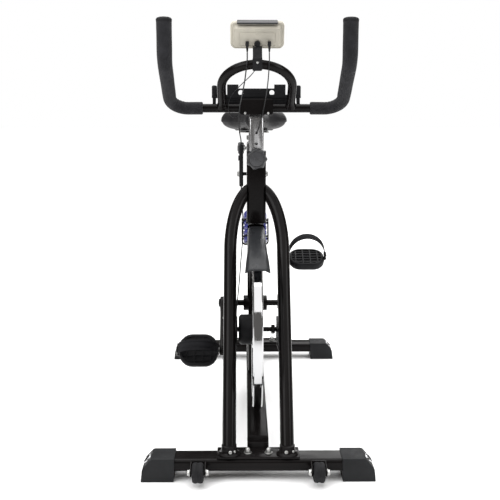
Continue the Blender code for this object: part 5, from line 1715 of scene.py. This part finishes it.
class BIKE_OT_knobs(PieceOperator):
    """Mould the four lobed hand knobs"""

    bl_idname = "bike.knobs"
    bl_label = "Knobs"

    def execute(self, context):
        seat = Vector((0, CRANK.y + SEAT_SLOPE * (0.600 - CRANK.z), 0.600)) + SEAT_REAR * 0.0228
        sleeve = Vector((-0.0241, 0.2854, 0.7235))
        for name, at, way, radius, height, lobes, neck, foot in (
            ("handlebar_knob", Vector((0, HEAD.y - 0.025, 0.716)), Vector((0, -1, 0)),
             0.028, 0.018, 7, 0.012, 0.0045),
            ("seat_height_knob", seat, SEAT_REAR, 0.024, 0.018, 6, 0.012, 0.0),
            ("seat_slide_knob", sleeve, Vector((-1, 0, 0)), 0.020, 0.018, 6, 0.008, 0.0),
            ("resistance_knob", WHEEL + BRAKE_WAY * 0.313, BRAKE_WAY, 0.022, 0.020, 6, 0.0, 0.0),
        ):
            self.knob(name, at, way, radius, height, lobes, neck, foot)
        return {"FINISHED"}

    def knob(self, name, at, way, radius, height, lobes, neck, foot):
        rings = []
        steps = lobes * 12
        for out, scale, depth in (
            (0.0000, 0.60, 0.00), (0.0000, 0.78, 0.09), (0.0010, 0.88, 0.12),
            (0.0030, 0.965, 0.14), (0.0055, 1.0, 0.145), (height - 0.0060, 1.0, 0.145),
            (height - 0.0032, 0.975, 0.14), (height - 0.0012, 0.91, 0.12),
            (height - 0.0002, 0.82, 0.08), (height, 0.74, 0.03), (height - 0.0002, 0.68, 0.0),
            (height - 0.0012, 0.665, 0.0), (height - 0.0012, 0.50, 0.0),
        ):
            ring = []
            for step in range(steps):
                angle = math.tau * step / steps
                wave = abs(math.sin(lobes * angle / 2)) ** 1.5
                reach = radius * scale * (1 - depth * wave)
                ring.append(Vector((neck + out, reach * math.cos(angle), reach * math.sin(angle))))
            rings.append(ring)
        place = facing(at, way)
        body = drawn_out(f"{name}_grip", rings, place)
        slot = "black_plastic"
        # The knob body takes the lightened black plastic: its lighter colour is a painted
        # highlight.
        fitted(body, name, slot, name, finish="knob_plastic", angle=32)
        face = neck + height - 0.0014
        disc = [
            (0, 0), (0, radius * 0.655), (0.0010, radius * 0.650), (0.0016, radius * 0.60),
            (0.0019, 0),
        ]
        insert = lathe("insert", disc, 48, (face, 0, 0))
        bar = box("bar", (0.0020, radius * 1.05, 0.0042), (face + 0.0022, 0, 0), 0.0009, 3,
                  (math.radians(-38), 0, 0))
        insert = settled(joined(f"{name}_insert", [insert, bar]), place)
        fitted(insert, name, slot, finish="knob_insert")
        if neck:
            shaft = [(-foot, 0), (-foot, 0.0050), (neck * 0.5, 0.0050), (neck * 0.55, 0.0085)]
            shaft += [(neck + 0.0005, 0.0105), (neck + 0.0005, 0)]
            stud = lathe(f"{name}_stud", shaft, 32, at, way)
            fitted(stud, name, slot, finish="zinc")


# Distance from the saddle's nose, then its width, underside and top there.
SADDLE_ROWS = (
    (0.0000, 0.036, 0.028, 0.0500), (0.0030, 0.046, 0.022, 0.0565),
    (0.0100, 0.055, 0.015, 0.0625), (0.0450, 0.065, 0.008, 0.0665),
    (0.1100, 0.094, 0.004, 0.0705), (0.1350, 0.122, 0.003, 0.0725),
    (0.1600, 0.162, 0.002, 0.0755), (0.2000, 0.207, 0.000, 0.0795),
    (0.2300, 0.212, 0.001, 0.0800), (0.2480, 0.196, 0.006, 0.0785),
    (0.2590, 0.170, 0.013, 0.0730), (0.2650, 0.138, 0.022, 0.0640),
)
SADDLE_LENGTH = 0.265


def saddle_row(along):
    """Width, underside and top of the saddle at a distance from its nose."""
    for first, last in zip(SADDLE_ROWS, SADDLE_ROWS[1:]):
        if along <= last[0]:
            share = (along - first[0]) / (last[0] - first[0])
            return [a + (b - a) * share for a, b in zip(first[1:], last[1:])]
    return list(SADDLE_ROWS[-1][1:])


class BIKE_OT_saddle(PieceOperator):
    """Pad and cover the saddle, with its pan, clamp, slide bar and post"""

    bl_idname = "bike.saddle"
    bl_label = "Saddle"

    def execute(self, context):
        front, base = low("saddle").y, low("saddle").z
        stations = [0.0, 0.0015, 0.0035, 0.006, 0.010, 0.016]
        stations += [0.024 + 0.0075 * step for step in range(29)]
        stations += [0.240, 0.246, 0.252, 0.257, 0.261, 0.2635, SADDLE_LENGTH]
        rows = []
        for along in stations:
            near = [
                saddle_row(min(max(along + shift, 0), SADDLE_LENGTH))
                for shift in (-0.006, 0, 0.006)
            ]
            inner = 0.012 < along < 0.240
            row = [sum(values) / 3 for values in zip(*near)] if inner else near[1]
            rows.append((along, *row))
        cover = drawn_out("saddle_cover", [self.section(front, base, *row) for row in rows])
        modified(cover, "SUBSURF", levels=1, render_levels=1)
        fitted(cover, "saddle_set", "saddle_vinyl", "saddle", angle=70)

        welt = []
        for side in (1, -1):
            edge = [
                Vector((
                    side * (width / 2 * 0.985), front + along, base + under + (top - under) * 0.36
                ))
                for along, width, under, top in rows[2:-2]
            ]
            welt += edge if side > 0 else edge[::-1]
        nose = rows[2]
        for turn in (35, 70, 110, 145):
            angle = math.radians(turn)
            welt.append(Vector((
                -nose[1] / 2 * 0.985 * math.cos(angle), front + 0.0035 - 0.0035 * math.sin(angle),
                base + nose[2] + (nose[3] - nose[2]) * 0.36,
            )))
        welt.append(welt[0])
        piping = tube("saddle_welt", welt, self.sizes.saddle_piping, 12)
        fitted(piping, "saddle_set", "saddle_vinyl", finish="black_rubber", angle=60)

        rings = []
        for along, width, under, top in rows[3:-3]:
            half = width * 0.30
            bottom = base + under - 0.0004
            rings.append([
                Vector((x, front + along, bottom + z))
                for x, z in ((-half, 0.004), (-half + 0.004, 0), (half - 0.004, 0), (half, 0.004))
            ])
        fitted(drawn_out("saddle_pan", rings), "saddle_set", "black_plastic")
        fitted(refined("saddle_bracket", "saddle_clamp", 0.0008), "saddle_set", "zinc")
        bolts = []
        for way in (-1, 1):
            face = middle("saddle_clamp") + Vector((way * 0.0172, 0.014, -0.004))
            bolts += bolt_head(face, way, 0.0090, 0.0075, 0.0055)
        fitted(joined("saddle_bolts", bolts), "saddle_set", "zinc")

        bar_lo, bar_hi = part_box("saddle_slide_bar")
        size = bar_hi - bar_lo
        turn = Matrix.Translation((0, bar_lo.y, (bar_lo.z + bar_hi.z) / 2)) @ Matrix.Rotation(
            -math.pi / 2, 4, "X"
        )
        slide = square_tube("slide_tube", size.x, size.z, size.y, 0.004, 0.003, 5, turn)
        fitted(slide, "saddle_set", "black_paint", "saddle_slide_bar")
        fitted(refined("saddle_post", "seat_post", 0.0008), "seat_post", "plated_tube", angle=42)
        return {"FINISHED"}

    def section(self, front, base, along, width, under, top):
        """A crowned section that pulls in at the sides and dips along the middle."""
        count = 28
        half, tall = width / 2, top - under
        dip = 0.0055 * min(max((along - 0.085) / 0.06, 0), 1)
        dip *= min(max((0.262 - along) / 0.03, 0), 1)
        ring = []
        for step in range(count):
            u = -math.cos(math.pi * step / (count - 1))
            crown = (1 - abs(u) ** 2.3) ** (1 / 1.9)
            height = under + tall * (0.38 + 0.62 * crown)
            height -= dip * math.exp(-((u * half / 0.013) ** 2))
            height += 0.0004 * math.sin(along * 190 + u * 5) * (1 - abs(u))
            ring.append(Vector((u * half, front + along, base + height)))
        for step in range(1, count - 1):
            u = math.cos(math.pi * step / (count - 1))
            belly = 0.38 * (1 - (1 - abs(u) ** 3.2) ** (1 / 2.2))
            ring.append(Vector((u * half * 0.97, front + along, base + under + tall * belly)))
        return ring


class BIKE_OT_bottle(PieceOperator):
    """Blow the water bottle, screw on its cap and bend its cage"""

    bl_idname = "bike.bottle"
    bl_label = "Water bottle"

    def execute(self, context):
        at = CRANK + SEAT_UP * 0.163 - SEAT_REAR * 0.0625
        radius = 0.0335
        body = [(0.0020, 0), (0.0, 0.024), (0.0004, 0.0300)]
        body += arc((0.0060, radius - 0.006), 0.006, 180, 95, 6)
        for rib in range(4):
            start = 0.0180 + rib * 0.0155
            for step in range(9):
                share = step / 8
                body.append((start + 0.0085 * share, radius - 0.0022 * math.sin(share * math.pi)))
        body += [(0.0840, radius)] + arc((0.0840, radius - 0.012), 0.012, 82, 30, 6)
        body += [(0.1010, 0.0225), (0.1025, 0.0215), (0.1090, 0.0215), (0.1090, 0)]
        bottle = lathe("bottle_body", body, 72, at, SEAT_UP)
        fitted(bottle, "water_bottle", "bottle_plastic", "water_bottle")
        cap = [
            (0.1030, 0.0), (0.1030, 0.0228), (0.1038, 0.0234), (0.1200, 0.0230),
            (0.1220, 0.0216), (0.1235, 0.0150), (0.1250, 0.0086), (0.1310, 0.0078),
            (0.1320, 0.0090), (0.1338, 0.0090), (0.1346, 0.0078), (0.1346, 0.0022),
            (0.1320, 0.0018), (0.1320, 0),
        ]
        fitted(lathe("bottle_cap", cap, 64, at, SEAT_UP), "water_bottle", "bottle_plastic",
               finish="black_plastic", angle=30)
        self.cage(at)
        return {"FINISHED"}

    def cage(self, at):
        """Two hoops and a bent side wire on a spine that is screwed to the seat tube."""
        place = facing(at, SEAT_UP)
        reach, wire = 0.0371, 0.0024
        pieces = []
        for height in (0.0644, 0.0164):
            activate(None)
            bpy.ops.mesh.primitive_torus_add(
                major_radius=reach, minor_radius=wire, major_segments=64, minor_segments=12
            )
            hoop = settled(named("hoop"), place @ Matrix.Translation((height, 0, 0))
                           @ Matrix.Rotation(math.pi / 2, 4, "Y"))
            pieces.append(hoop)
        corners = [(0.074, reach, 0), (-0.0034, reach, 0), (-0.0034, -reach, 0), (0.074, -reach, 0)]
        side_wire = tube("wire", rounded_path(corners, 0.010, 8), wire, 12)
        pieces.append(settled(side_wire, place))
        spine = box("spine", (0.100, 0.012, 0.0045), (0.044, 0, 0), 0.0010, 3)
        inward = at + SEAT_REAR * (0.0347 + 0.0026)
        pieces.append(settled(spine, facing(inward, SEAT_UP)))
        fitted(joined("cage_wires", pieces), "frame", "black_paint", "bottle_cage", angle=45)
        screws = [
            screw_head(inward + SEAT_UP * height - SEAT_REAR * 0.0022, -SEAT_REAR, 0.0038)
            for height in (0.024, 0.076)
        ]
        fitted(joined("cage_screws", screws), "frame", "zinc")


PIECES = (
    BIKE_OT_stage, BIKE_OT_leads, BIKE_OT_supports, BIKE_OT_transport_wheels, BIKE_OT_hoop,
    BIKE_OT_head_tube, BIKE_OT_frame_tubes, BIKE_OT_fender, BIKE_OT_flywheel, BIKE_OT_belt_drive,
    BIKE_OT_brake, BIKE_OT_cranks, BIKE_OT_pedals, BIKE_OT_post_and_stem, BIKE_OT_handlebar,
    BIKE_OT_elbow_rest, BIKE_OT_console, BIKE_OT_knobs, BIKE_OT_saddle, BIKE_OT_bottle,
)


class BIKE_PT_pieces(bpy.types.Panel):
    """Lists the bike's pieces, sizes and colours"""

    bl_idname = "BIKE_PT_pieces"
    bl_label = "Exercise Bike"
    bl_space_type = "VIEW_3D"
    bl_region_type = "UI"
    bl_category = "Exercise Bike"

    def draw(self, context):
        for group in (context.scene.bike_sizes, context.scene.bike_colours):
            column = self.layout.column(align=True)
            for name in group.__annotations__:
                column.prop(group, name)
        column = self.layout.column(align=True)
        for piece in PIECES:
            column.operator(piece.bl_idname)


CLASSES = (BikeSizes, BikeColours, *PIECES, BIKE_PT_pieces)


def register():
    for item in CLASSES:
        bpy.utils.register_class(item)
    bpy.types.Scene.bike_sizes = PointerProperty(type=BikeSizes)
    bpy.types.Scene.bike_colours = PointerProperty(type=BikeColours)


def unregister():
    del bpy.types.Scene.bike_colours
    del bpy.types.Scene.bike_sizes
    for item in reversed(CLASSES):
        bpy.utils.unregister_class(item)


def main():
    register()
    for piece in PIECES:
        group, name = piece.bl_idname.split(".")
        if getattr(getattr(bpy.ops, group), name)() != {"FINISHED"}:
            raise RuntimeError(f"{piece.bl_label} was not built")


if __name__ == "__main__":
    main()
